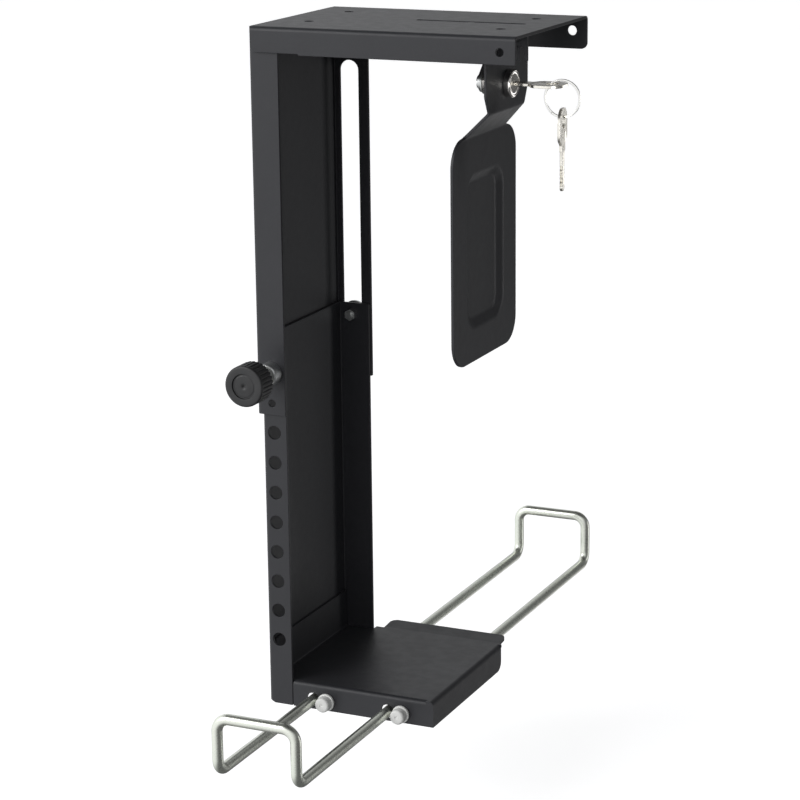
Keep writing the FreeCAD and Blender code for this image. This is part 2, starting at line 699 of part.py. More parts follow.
def clamp_arm():
    """One bent strip: level leg under the plate, upright with the lock, crank and side pad.

    The upright has a gap at the top, in front of the leg, for the rack.
    """
    lean = math.atan2(ARM_X - PAD_X, UPPER_CREASE - LOWER_CREASE)
    shift = SHEET * math.tan(lean / 2)
    profile = [
        (LEG_END_X, LEG_TOP, 0),
        (ARM_X, LEG_TOP, BEND_OUT),
        (ARM_X, UPPER_CREASE, 4),
        (PAD_X, LOWER_CREASE, 3),
        (PAD_X, PAD_BOTTOM, 0),
        (PAD_X - SHEET, PAD_BOTTOM, 0),
        (PAD_X - SHEET, LOWER_CREASE + shift, 5),
        (ARM_X - SHEET, UPPER_CREASE + shift, 2),
        (ARM_X - SHEET, LEG_TOP - SHEET, BEND_IN),
        (LEG_END_X, LEG_TOP - SHEET, 0),
    ]
    strip = prism_y(profile, -PAD_HALF_WIDTH, PAD_HALF_WIDTH)
    rear_top = [
        (LEG_HALF_WIDTH, 0, 0),
        (LEG_HALF_WIDTH, SHOULDER_TOP, 2.5),
    ]
    side = [
        (ARM_HALF_WIDTH, SHOULDER_TOP, 3),
        (ARM_HALF_WIDTH, CRANK_START, 6),
        (CRANK_TOP_HALF_WIDTH, UPPER_CREASE, 6),
        (CRANK_FOOT_HALF_WIDTH, LOWER_CREASE + 1, 3),
        (PAD_HALF_WIDTH, LOWER_CREASE - 2, PAD_CORNER),
        (PAD_HALF_WIDTH, PAD_BOTTOM, PAD_CORNER),
    ]
    front_top = [
        (-RACK_GAP_REACH, SHOULDER_TOP, 2),
        (-RACK_GAP_REACH, RACK_GAP_BOTTOM, 1.5),
        (-LEG_HALF_WIDTH, RACK_GAP_BOTTOM, 1.5),
        (-LEG_HALF_WIDTH, 0, 0),
    ]
    mirrored = [(-y, z, r) for y, z, r in reversed(side)]
    outline = rear_top + side + mirrored + front_top
    arm = strip.common(prism_x(outline, LEG_END_X - 1, ARM_X + 1))
    arm = press_recess(arm)
    arm = arm.cut(along_x(ARM_X - 10, ARM_X + 5, 0, LOCK_Z, BARREL_D + 0.2))
    arm = arm.cut(along_z(LEG_TOP - 5, 0, STUD_X, 0, STUD_SHANK_D))
    return on_centre_line(arm.removeSplitter())


def press_recess(arm):
    """Rounded dish pressed into the pad towards the computer."""

    def dish(x_mouth, x_floor, grow):
        wires = []
        for x, inset in ((x_mouth, -grow), (x_floor, RECESS_SLOPE - grow)):
            half = RECESS_HALF_WIDTH - inset
            outline = rectangle(
                -half, half, RECESS_BOTTOM + inset, RECESS_TOP - inset, RECESS_CORNER - inset
            )
            wires.append(rounded_wire(outline, lambda p, x=x: V(x, p.x, p.y)))
        return Part.makeLoft(wires, True)

    shell = dish(PAD_X - SHEET, PAD_X - SHEET - RECESS_DEPTH, 0.8)
    hollow = dish(PAD_X, PAD_X - RECESS_DEPTH, 0)
    return arm.fuse(shell).cut(hollow)


def guide_stud():
    """Shouldered rivet in the arm's leg; its nose runs in the plate's slot."""
    nose = along_z(LEG_TOP, -0.4, STUD_X, 0, GUIDE_STUD_D)
    shoulder = along_z(LEG_TOP, -SHEET - 0.2, STUD_X, 0, STUD_SHOULDER_D)
    shank = along_z(LEG_TOP - SHEET, LEG_TOP, STUD_X, 0, STUD_SHANK_D)
    rivet = along_z(LEG_TOP - SHEET - STUD_RIVET_T, LEG_TOP - SHEET, STUD_X, 0, STUD_RIVET_D)
    return on_centre_line(nose.fuse([shoulder, shank, rivet]).removeSplitter())


def lock_housing():
    """Round lock body: wide head outside the arm, threaded barrel through it, bored for the plug."""
    head = along_x(ARM_X, LOCK_FACE, 0, LOCK_Z, LOCK_HEAD_D)
    head = head.makeFillet(1.6, [e for e in head.Edges if abs(e.BoundBox.XMin - LOCK_FACE) < 0.01])
    barrel = along_x(ARM_X - BARREL_LENGTH, ARM_X, 0, LOCK_Z, BARREL_D)
    bore = along_x(ARM_X - BARREL_LENGTH - 1, LOCK_FACE + 1, 0, LOCK_Z, PLUG_D + 0.1)
    return on_centre_line(head.fuse(barrel).cut(bore).removeSplitter())


def lock_nut():
    """Thin hexagon nut that clamps the lock body to the arm."""
    corner = LOCK_NUT_ACROSS / 2 / math.cos(math.radians(30))
    hexagon = []
    for i in range(6):
        angle = math.radians(60 * i)
        hexagon.append((corner * math.cos(angle), LOCK_Z + corner * math.sin(angle), 0))
    nut = prism_x(hexagon, ARM_X - SHEET - LOCK_NUT_T, ARM_X - SHEET)
    return on_centre_line(nut.cut(along_x(0, 100, 0, LOCK_Z, BARREL_D + 0.1)))


def square_bar(x0, x1, across):
    half = across / 2
    return box(x0, x1, -half, half, LOCK_Z - half, LOCK_Z + half)


def wafer_places():
    return [KEY_TIP_X + FIRST_WAFER + i * WAFER_PITCH for i in range(WAFERS)]


def lock_plug():
    """Turning core with the keyway, slots for the wafers and a square tail for the cam."""
    core = along_x(PLUG_BACK, LOCK_FACE - 0.4, 0, LOCK_Z, PLUG_D)
    tail = square_bar(CAM_X - 0.1, PLUG_BACK, CAM_SQUARE)
    plug = core.fuse(tail)
    half_y = KEY_BLADE_W / 2 + 0.2
    half_z = KEY_T / 2 + 0.15
    keyway = box(KEY_TIP_X - 0.5, LOCK_FACE + 1, -half_y, half_y, LOCK_Z - half_z, LOCK_Z + half_z)
    plug = plug.cut(keyway)
    slot_bottom = LOCK_Z - WAFER_HALF_HEIGHT - 0.1
    slot_top = LOCK_Z + WAFER_HALF_HEIGHT + 0.1
    for x in wafer_places():
        plug = plug.cut(box(x - 0.1, x + WAFER_T + 0.1, -PLUG_D, PLUG_D, slot_bottom, slot_top))
    plug = plug.cut(along_x(CAM_X - 1, PLUG_BACK + 0.3, 0, LOCK_Z, CAM_SCREW_D + 0.1))
    return on_centre_line(plug.removeSplitter())


def stop_washer():
    """Round washer with a square hole that holds the plug in the lock body."""
    start = CAM_X + SHEET
    disc = along_x(start, start + STOP_WASHER_T, 0, LOCK_Z, STOP_WASHER_D)
    disc = disc.makeFillet(0.4, [e for e in disc.Edges if e.BoundBox.XLength < 0.01])
    return on_centre_line(disc.cut(square_bar(start - 1, start + 5, CAM_SQUARE + 2 * CAM_SQUARE_GAP)))


def wafer_tumblers():
    """Five brass wafers with a window for the key blade."""
    wafers = []
    half_y = KEY_BLADE_W / 2 + 0.3
    half_z = KEY_T / 2 + 0.3
    for x in wafer_places():
        wafer = box(
            x, x + WAFER_T, -WAFER_HALF_WIDTH, WAFER_HALF_WIDTH,
            LOCK_Z - WAFER_HALF_HEIGHT, LOCK_Z + WAFER_HALF_HEIGHT
        )
        window = box(x - 1, x + 3, -half_y, half_y, LOCK_Z - half_z, LOCK_Z + half_z)
        wafers.append(on_centre_line(wafer.cut(window)))
    return Part.makeCompound(wafers)


def lock_cam():
    """Flat lever on the plug's tail; drawn unlocked, a quarter turn away from the rack."""
    taper = CAM_REACH - CAM_NOSE
    nose = CAM_REACH - 2
    outline = [
        (-6, -CAM_HALF_WIDTH, 5.9),
        (taper, -CAM_HALF_WIDTH, 0),
        (nose, -CAM_NOSE_HALF_WIDTH, 0.5),
        (CAM_REACH, -CAM_NOSE_HALF_WIDTH, 1),
        (CAM_REACH, CAM_NOSE_HALF_WIDTH, 1),
        (nose, CAM_NOSE_HALF_WIDTH, 0.5),
        (taper, CAM_HALF_WIDTH, 0),
        (-6, CAM_HALF_WIDTH, 5.9),
    ]
    cam = prism_x(outline, CAM_X, CAM_X + SHEET)
    cam.rotate(V(0, 0, 0), V(1, 0, 0), CAM_ANGLE)
    cam.translate(V(0, 0, LOCK_Z))
    return on_centre_line(cam.cut(square_bar(CAM_X - 1, CAM_X + 4, CAM_SQUARE + 2 * CAM_SQUARE_GAP)))


def cam_screw():
    """Screw that holds the cam on the plug's tail."""
    seat = CAM_X - 0.1
    head = along_x(seat - CAM_SCREW_HEAD, seat, 0, LOCK_Z, CAM_SCREW_HEAD_D)
    head = head.cut(box(seat - 3, seat - CAM_SCREW_HEAD / 2, -6, 6, LOCK_Z - 0.6, LOCK_Z + 0.6))
    return on_centre_line(head.fuse(along_x(seat, PLUG_BACK, 0, LOCK_Z, CAM_SCREW_D)).removeSplitter())


def flat_key():
    """Key lying flat: tip at the origin, bow towards +X, thickness centred on the XY plane."""
    half = KEY_BLADE_W / 2
    bow_half = KEY_BOW_W / 2
    end = KEY_BLADE_LENGTH + KEY_BOW_LENGTH
    heel = KEY_BLADE_LENGTH - 2
    neck = KEY_BLADE_LENGTH - 2 + KEY_SHOULDER_LENGTH
    flare = KEY_BLADE_LENGTH + KEY_BOW_START
    side = [
        (0, 1.4, 0.6),
        (2.6, half, 0.8),
        (heel, half, 0),
        (heel, half + KEY_SHOULDER, 0.5),
        (neck, half + KEY_SHOULDER, 1.5),
        (flare, bow_half, 5),
        (end, bow_half, 9),
    ]
    outline = [(x, -y, r) for x, y, r in side] + side[::-1]
    key = prism_z(outline, -KEY_T / 2, KEY_T / 2)
    for i in range(WAFERS):
        x = FIRST_BITTING + i * WAFER_PITCH
        depth = 0.7 + 0.35 * ((2 * i) % 3)
        for side in (-1, 1):
            outside = side * (half + 1)
            tip = side * (half - depth)
            cut = prism_z([(x - 1.3 - depth, outside, 0), (x, tip, 0), (x + 1.3 + depth, outside, 0)], -2, 2)
            key = key.cut(cut)
    groove = box(3, KEY_BLADE_LENGTH - 3, -0.6, 0.6, KEY_T / 2 - 0.4, 2)
    hole = along_z(-2, 2, end - KEY_WEB - KEY_HOLE_D / 2, 0, KEY_HOLE_D)
    return key.cut(groove).cut(hole).removeSplitter()


def key():
    part = flat_key()
    part.translate(V(KEY_TIP_X, 0, LOCK_Z))
    return on_centre_line(part)


def ring_x():
    return KEY_END_X - KEY_WEB / 2


def key_ring():
    """Round wire ring that hangs through the key's bow."""
    return Part.makeTorus(RING_R, RING_WIRE_D / 2, V(ring_x(), CENTRE_LINE_Y, RING_Z), V(0, 1, 0))


def spare_key():
    """Second key, hanging from the bottom of the ring."""
    part = flat_key()
    part.rotate(V(0, 0, 0), V(0, 1, 0), -90)
    part.rotate(V(0, 0, 0), V(0, 0, 1), SPARE_KEY_TURN)
    wire_low = RING_Z - RING_R
    top = wire_low + RING_WIRE_D / 2 + 0.3 + KEY_WEB
    length = KEY_BLADE_LENGTH + KEY_BOW_LENGTH
    part.translate(V(ring_x(), CENTRE_LINE_Y, top - length))
    return part


def knob_stud():
    """Threaded stud moulded in the knob; its plain pin enters a height hole when screwed in."""
    pin_tip = -POST_IN_Y - 0.3
    thread = along_y(KNOB_BACK - STUD_IN_NECK, PIN_START, KNOB_X, KNOB_Z, STUD_D)
    pin = along_y(PIN_START, pin_tip, KNOB_X, KNOB_Z, PIN_D)
    pin = pin.makeChamfer(0.8, [e for e in pin.Edges if abs(e.BoundBox.YMin - pin_tip) < 0.01])
    return thread.fuse(pin).removeSplitter()


def knob_head():
    """Round hand knob: grooved rim, hollow front face and a neck down to the washer."""
    head = along_y(KNOB_FACE, KNOB_SHOULDER, KNOB_X, KNOB_Z, KNOB_HEAD_D)
    head = head.makeFillet(1.2, [e for e in head.Edges if e.BoundBox.YLength < 0.01])
    for i in range(KNOB_GROOVES):
        angle = 2 * math.pi * i / KNOB_GROOVES
        x = KNOB_X + KNOB_HEAD_D / 2 * math.cos(angle)
        z = KNOB_Z + KNOB_HEAD_D / 2 * math.sin(angle)
        head = head.cut(along_y(KNOB_FACE + KNOB_FACE_RIM, KNOB_SHOULDER + 1, x, z, KNOB_GROOVE_D))
    head = head.fuse(along_y(KNOB_SHOULDER, KNOB_BACK, KNOB_X, KNOB_Z, KNOB_NECK_D))
    head = head.cut(along_y(KNOB_FACE - 1, KNOB_FACE + KNOB_CAP_SEAT, KNOB_X, KNOB_Z, KNOB_CAP_D))
    head = head.cut(along_y(KNOB_FACE - 1, KNOB_FACE + KNOB_CAP_PLUG_DEPTH, KNOB_X, KNOB_Z, KNOB_CAP_PLUG_D))
    stud_seat = along_y(KNOB_BACK - STUD_IN_NECK, KNOB_BACK + 1, KNOB_X, KNOB_Z, STUD_D)
    return head.cut(stud_seat).removeSplitter()


def knob_cap():
    """Disc snapped into the knob's front."""
    seat = KNOB_FACE + KNOB_CAP_SEAT
    disc = along_y(KNOB_FACE + 0.5, seat, KNOB_X, KNOB_Z, KNOB_CAP_D - 0.2)
    plug = along_y(seat, KNOB_FACE + KNOB_CAP_PLUG_DEPTH, KNOB_X, KNOB_Z, KNOB_CAP_PLUG_D - 0.1)
    return disc.fuse(plug).removeSplitter()


def knob_washer():
    """Plastic washer between the knob's neck and the bush."""
    washer = along_y(WASHER_FRONT, WASHER_FRONT + WASHER_T, KNOB_X, KNOB_Z, 15.0)
    return washer.cut(along_y(WASHER_FRONT - 1, WASHER_FRONT + 3, KNOB_X, KNOB_Z, STUD_D + 0.2))


PIECES = {
    "top_plate": top_plate,
    "upper_post": upper_post,
    "slide_keeper": slide_keeper,
    "lock_rack": lock_rack,
    "knob_boss": knob_boss,
    "lower_post": lower_post,
    "base_tray": base_tray,
    "rod_guide": rod_guide,
    "guide_sleeve": guide_sleeve,
    "guide_screw": guide_screw,
    "guide_nut": guide_nut,
    "front_wire": front_wire,
    "front_wire_caps": front_wire_caps,
    "rear_wire": rear_wire,
    "rear_wire_caps": rear_wire_caps,
    "clamp_arm": clamp_arm,
    "guide_stud": guide_stud,
    "lock_housing": lock_housing,
    "lock_nut": lock_nut,
    "lock_plug": lock_plug,
    "wafer_tumblers": wafer_tumblers,
    "stop_washer": stop_washer,
    "lock_cam": lock_cam,
    "cam_screw": cam_screw,
    "key": key,
    "key_ring": key_ring,
    "spare_key": spare_key,
    "knob_stud": knob_stud,
    "knob_head": knob_head,
    "knob_cap": knob_cap,
    "knob_washer": knob_washer,
}

os.makedirs("parts", exist_ok=True)
for name, build in PIECES.items():
    shape = build()
    shape.exportStep("parts/" + name + ".step")
    print(name, len(shape.Solids), shape.isValid(), round(shape.Volume))
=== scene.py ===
import bmesh
import bpy
import json
import math
from mathutils import Matrix, Vector
from mathutils.geometry import delaunay_2d_cdt

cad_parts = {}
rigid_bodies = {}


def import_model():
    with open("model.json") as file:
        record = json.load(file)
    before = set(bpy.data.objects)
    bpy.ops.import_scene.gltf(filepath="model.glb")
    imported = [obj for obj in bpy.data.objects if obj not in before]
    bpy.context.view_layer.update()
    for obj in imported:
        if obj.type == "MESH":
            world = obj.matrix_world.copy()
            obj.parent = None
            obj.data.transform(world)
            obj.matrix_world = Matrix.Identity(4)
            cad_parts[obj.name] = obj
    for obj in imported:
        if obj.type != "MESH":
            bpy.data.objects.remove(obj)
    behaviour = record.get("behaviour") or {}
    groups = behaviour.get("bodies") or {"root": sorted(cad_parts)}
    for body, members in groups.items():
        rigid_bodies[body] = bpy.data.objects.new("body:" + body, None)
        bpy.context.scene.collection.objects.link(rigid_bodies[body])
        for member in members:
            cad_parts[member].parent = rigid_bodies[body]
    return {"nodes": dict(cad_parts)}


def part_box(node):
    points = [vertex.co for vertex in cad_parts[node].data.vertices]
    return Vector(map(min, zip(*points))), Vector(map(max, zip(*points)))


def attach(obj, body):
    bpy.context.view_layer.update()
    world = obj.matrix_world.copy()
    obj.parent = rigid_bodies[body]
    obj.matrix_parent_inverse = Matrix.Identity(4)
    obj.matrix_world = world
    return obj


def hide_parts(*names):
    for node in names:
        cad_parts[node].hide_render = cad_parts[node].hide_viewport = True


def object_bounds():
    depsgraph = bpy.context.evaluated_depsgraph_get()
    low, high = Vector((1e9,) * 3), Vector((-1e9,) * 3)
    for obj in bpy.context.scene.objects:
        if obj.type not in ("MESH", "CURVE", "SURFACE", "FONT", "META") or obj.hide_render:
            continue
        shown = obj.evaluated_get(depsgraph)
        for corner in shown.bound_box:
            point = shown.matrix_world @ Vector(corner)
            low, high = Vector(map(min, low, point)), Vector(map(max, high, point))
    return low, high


# Under-desk computer holder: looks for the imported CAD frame.
# The CAD frame is in metres. Sizes below are in millimetres and mm() turns them into metres.

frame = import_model()
cad_low, cad_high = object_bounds()

FULL_TURN = 2 * math.pi


def mm(value):
    return value / 1000


def span(node):
    """Lowest and highest corner of a CAD node, in millimetres."""
    low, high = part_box(node)
    return low * 1000, high * 1000


def middle(node):
    """Centre (x, y, z) of a CAD node's box, in millimetres."""
    return tuple((a + b) / 2 for a, b in zip(*span(node)))


# ---------------------------------------------------------------- sizes that the frame doesn't give

SHEET = 2.0
SHEET_EDGE = 0.35
EDGE_ROWS = 3
PLATE_BEND = 2.0
POST_BEND = 1.5
WIRE_R = 3.5
WIRE_BEND = 8.5
HOLE_PITCH = 20
KNOB_GROOVES = 30
STUD_PITCH = 1.25
BARREL_PITCH = 1.0
THREAD_DEPTH = 0.42
AXIS_R = 0.02
KEY_T = 1.8
KEY_EDGE = 0.22
KEY_BLADE_W = 7.0
KEY_BLADE_LENGTH = 26.7
KEY_BOW_LENGTH = 24.8
KEY_HOLE_D = 8.0
KEY_WEB = 4.6
SPARE_KEY_TURN = math.radians(9.0)
RING_STEP = 0.45


# ---------------------------------------------------------------- outlines in a plane

def arc_points(centre, radius, start, turn, count):
    """Points on an arc, both ends included."""
    return [
        (centre[0] + radius * math.cos(start + turn * i / count),
         centre[1] + radius * math.sin(start + turn * i / count))
        for i in range(count + 1)
    ]


def circle(cu, cv, radius, count=40):
    return arc_points((cu, cv), radius, 0, FULL_TURN, count)[:-1]


def rounded(corners, steps=8):
    """Closed outline through corners (u, v, radius)."""
    points = []
    for i, (u, v, radius) in enumerate(corners):
        here = Vector((u, v))
        if radius == 0:
            points.append((u, v))
            continue
        to_before = (Vector(corners[i - 1][:2]) - here).normalized()
        to_after = (Vector(corners[(i + 1) % len(corners)][:2]) - here).normalized()
        half = to_before.angle(to_after) / 2
        enter = here + to_before * (radius / math.tan(half))
        centre = here + (to_before + to_after).normalized() * (radius / math.sin(half))
        spoke = enter - centre
        start = math.atan2(spoke.y, spoke.x)
        turn = math.pi - 2 * half
        if to_before.cross(to_after) > 0:
            turn = -turn
        points += arc_points(centre, radius, start, turn, steps)
    return points


def rectangle(u0, u1, v0, v1, radius):
    """Corners of a rectangle, for rounded()."""
    return [(u0, v0, radius), (u1, v0, radius), (u1, v1, radius), (u0, v1, radius)]


def inside(point, outline):
    """Whether a point lies inside a closed outline."""
    u, v = point
    odd = False
    for i, (u1, v1) in enumerate(outline):
        u0, v0 = outline[i - 1]
        if (v0 > v) != (v1 > v) and u < u0 + (v - v0) / (v1 - v0) * (u1 - u0):
            odd = not odd
    return odd


# ---------------------------------------------------------------- mesh makers

def mesh_object(name, points, faces, grain=None):
    """Mesh from points in millimetres, shaded smooth.

    grain holds one vector a point, for materials with a direction.
    """
    mesh = bpy.data.meshes.new(name)
    mesh.from_pydata([Vector(p) / 1000 for p in points], [], faces)
    bm = bmesh.new()
    bm.from_mesh(mesh)
    bmesh.ops.recalc_face_normals(bm, faces=bm.faces)
    bm.to_mesh(mesh)
    bm.free()
    mesh.polygons.foreach_set("use_smooth", [True] * len(mesh.polygons))
    if grain:
        layer = mesh.attributes.new("grain", "FLOAT_VECTOR", "POINT")
        layer.data.foreach_set("vector", [c for g in grain for c in g])
    piece = bpy.data.objects.new(name, mesh)
    bpy.context.scene.collection.objects.link(piece)
    return piece


def even_normals(piece):
    """Large flat faces keep flat shading where they meet small rounded ones."""
    weighted = piece.modifiers.new("even_normals", "WEIGHTED_NORMAL")
    weighted.weight = 80
    weighted.keep_sharp = False


class Fold:
    """Middle line of a bent sheet: corners (a, b, radius) joined by straight runs and arcs."""

    def __init__(self, corners, steps=8):
        flat = []
        for i, (a, b, radius) in enumerate(corners):
            if radius == 0 or i in (0, len(corners) - 1):
                flat.append((Vector((a, b)), None))
                continue
            here = Vector((a, b))
            to_before = (Vector(corners[i - 1][:2]) - here).normalized()
            to_after = (Vector(corners[i + 1][:2]) - here).normalized()
            half = to_before.angle(to_after) / 2
            centre = here + (to_before + to_after).normalized() * (radius / math.sin(half))
            enter = here + to_before * (radius / math.tan(half)) - centre
            start = math.atan2(enter.y, enter.x)
            turn = math.pi - 2 * half
            if to_before.cross(to_after) > 0:
                turn = -turn
            for point in arc_points(centre, radius, start, turn, steps):
                flat.append((Vector(point), centre))
        self.points = [point for point, centre in flat]
        self.at = [0.0]
        for before, after in zip(self.points, self.points[1:]):
            self.at.append(self.at[-1] + (after - before).length)
        self.length = self.at[-1]

    def normal(self, i):
        """Left-hand normal at point i, the mean of the two runs that meet there."""
        last = len(self.points) - 1
        into = self.points[max(i, 1)] - self.points[max(i, 1) - 1]
        out = self.points[min(i, last - 1) + 1] - self.points[min(i, last - 1)]
        along = into.normalized() + out.normalized()
        return Vector((-along.y, along.x)).normalized()

    def place(self, s, offset):
        """Point at length s along the line, moved sideways by offset."""
        i = 0
        while i < len(self.at) - 2 and s > self.at[i + 1]:
            i += 1
        run = self.at[i + 1] - self.at[i]
        share = (s - self.at[i]) / run
        point = self.points[i].lerp(self.points[i + 1], share)
        return point + self.normal(i).lerp(self.normal(i + 1), share) * offset

    def find(self, which, value, after=0.0):
        """Length along the line where coordinate which (0 or 1) first passes value, past length after."""
        for i in range(len(self.points) - 1):
            low, high = self.points[i][which], self.points[i + 1][which]
            if self.at[i + 1] < after or abs(high - low) < 1e-9:
                continue
            share = (value - low) / (high - low)
            if -1e-9 <= share <= 1 + 1e-9:
                return self.at[i] + share * (self.at[i + 1] - self.at[i])
        raise ValueError(f"{value} is not on the line")


def ease(distance, width):
    """0 to 1 over a width, level at both ends."""
    t = min(1, max(0, distance / width))
    return t * t * (3 - 2 * t)


def boundary_loops(triangles):
    """Chains of edges that only one triangle uses, each in the triangles' own direction."""
    following = {}
    used = {(a, b) for t in triangles for a, b in ((t[0], t[1]), (t[1], t[2]), (t[2], t[0]))}
    for a, b in used:
        if (b, a) not in used:
            following[a] = b
    loops = []
    while following:
        start, step = following.popitem()
        loop = [start]
        while step != start:
            loop.append(step)
            step = following.pop(step)
        loops.append(loop)
    return loops


def sheet(name, outer, holes, place, thickness, edge, creases=(), contours=(), relief=None):
    """Sheet cut to outer and holes in flat coordinates (u, s), then bent and given thickness.

    place(u, s, w) puts a flat point in space, w above the sheet's middle. creases are values of s where
    the mesh needs a line, contours are closed lines, and relief(u, s, side) raises a face.
    """
    loops = [outer] + list(holes) + list(contours)
    coordinates = []
    edges = []
    for loop in loops:
        first = len(coordinates)
        coordinates += [Vector(p) for p in loop]
        edges += [(first + i, first + (i + 1) % len(loop)) for i in range(len(loop))]
    left = min(p[0] for p in outer) - 1
    right = max(p[0] for p in outer) + 1
    for s in creases:
        edges.append((len(coordinates), len(coordinates) + 1))
        coordinates += [Vector((left, s)), Vector((right, s))]
    flat, _, triangles, _, _, _ = delaunay_2d_cdt(coordinates, edges, [], 0, 1e-5)
    kept = []
    for t in triangles:
        centre = (flat[t[0]] + flat[t[1]] + flat[t[2]]) / 3
        if inside(centre, outer) and not any(inside(centre, hole) for hole in holes):
            kept.append(tuple(t))
    loops = boundary_loops(kept)
    rim = {}
    for loop in loops:
        for i, index in enumerate(loop):
            before = (flat[index] - flat[loop[i - 1]]).normalized()
            after = (flat[loop[(i + 1) % len(loop)]] - flat[index]).normalized()
            out = Vector((before.y + after.y, -before.x - after.x)).normalized()
            scale = 1 / max(0.5, out.dot(Vector((before.y, -before.x))))
            rim[index] = out * scale
    numbers = {}
    points = []
    grain = []

    def add(u, s, w):
        points.append(place(u, s, w))
        grain.append((u, s, 0.0))
        return len(points) - 1

    faces = []
    half = thickness / 2
    for side in (1, -1):
        for index in sorted({i for t in kept for i in t}):
            u, s = flat[index] - rim.get(index, Vector((0, 0))) * edge
            lift = relief(u, s, side) if relief else 0
            numbers[index, side] = add(u, s, side * half + lift)
        for t in kept:
            corners = [numbers[i, side] for i in t]
            faces.append(corners if side > 0 else corners[::-1])
    for loop in loops:
        rings = [[numbers[i, 1] for i in loop]]
        for side in (1, -1):
            for k in range(1, EDGE_ROWS + 1):
                turn = math.pi / 2 * (k / EDGE_ROWS if side > 0 else 1 - (k - 1) / EDGE_ROWS)
                if side < 0 and k == 1 and half - edge < 1e-6:
                    continue
                ring = []
                for index in loop:
                    u, s = flat[index] - rim[index] * (edge * (1 - math.sin(turn)))
                    lift = relief(u, s, side) if relief else 0
                    ring.append(add(u, s, side * (half - edge * (1 - math.cos(turn))) + lift))
                rings.append(ring)
        rings.append([numbers[i, -1] for i in loop])
        for upper, lower in zip(rings, rings[1:]):
            for i in range(len(loop)):
                j = (i + 1) % len(loop)
                faces.append([upper[j], upper[i], lower[i], lower[j]])
    piece = mesh_object(name, points, faces, grain)
    even_normals(piece)
    return piece


def axis_frame(axis):
    """Two directions square to the axis."""
    axis = Vector(axis).normalized()
    side = Vector((0, 0, 1)) if abs(axis.z) < 0.9 else Vector((1, 0, 0))
    first = side.cross(axis).normalized()
    return axis, first, axis.cross(first)


def ring_faces(rows, segments):
    """Quads between rings of points, the last ring joined to the first."""
    faces = []
    for row in range(rows):
        here, there = row * segments, (row + 1) % rows * segments
        for i in range(segments):
            j = (i + 1) % segments
            faces.append([here + i, here + j, there + j, there + i])
    return faces


def lathe(name, start, axis, profile, segments, wobble=None):
    """Closed profile (along, radius) turned round an axis. wobble(row, angle) changes a row's radius."""
    axis, first, second = axis_frame(axis)
    start = Vector(start)
    points = []
    grain = []
    arc = 0.0
    for row, (along, radius) in enumerate(profile):
        if row:
            arc += math.hypot(along - profile[row - 1][0], radius - profile[row - 1][1])
        for i in range(segments):
            angle = FULL_TURN * i / segments
            reach = radius + (wobble(row, angle) if wobble else 0)
            spoke = first * math.cos(angle) + second * math.sin(angle)
            points.append(start + axis * along + spoke * reach)
            grain.append((math.cos(angle), math.sin(angle), arc))
    return mesh_object(name, points, ring_faces(len(profile), segments), grain)


def thread_rows(start, stop, radius, pitch, per_turn):
    """Rows (along, radius) for a threaded stretch; threaded() gives their wobble."""
    count = round((stop - start) / pitch * per_turn)
    return [(start + (stop - start) * i / count, radius) for i in range(count + 1)]


def threaded(profile, first, last, pitch):
    """Wobble for lathe(): rows first to last carry a helical groove that runs out at both ends."""

    def wobble(row, angle):
        if not first <= row <= last:
            return 0
        along = profile[row][0]
        phase = (along / pitch - angle / FULL_TURN) % 1
        groove = 1 - abs(2 * phase - 1)
        ends = min(1, (row - first) / 4, (last - row) / 4)
        return -THREAD_DEPTH * groove * ends

    return wobble


def sweep(name, path, section):
    """Section points (a, b) carried along a path without twist, with both ends closed."""
    count = len(path)
    tangents = []
    for i in range(count):
        tangents.append((path[min(i + 1, count - 1)] - path[max(i - 1, 0)]).normalized())
    _, first, second = axis_frame(tangents[0])
    points = []
    grain = []
    faces = []
    along = 0.0
    for i in range(count):
        if i:
            along += (path[i] - path[i - 1]).length
            turn = tangents[i - 1].rotation_difference(tangents[i])
            first = turn @ first
            second = turn @ second
        for k, (a, b) in enumerate(section):
            points.append(path[i] + first * a + second * b)
            angle = FULL_TURN * k / len(section)
            grain.append((math.cos(angle), math.sin(angle), along))
    size = len(section)
    for i in range(count - 1):
        for k in range(size):
            j = (k + 1) % size
            faces.append([i * size + k, i * size + j, (i + 1) * size + j, (i + 1) * size + k])
    faces.append(list(range(size)))
    faces.append([(count - 1) * size + k for k in reversed(range(size))])
    return mesh_object(name, points, faces, grain)


# ---------------------------------------------------------------- materials

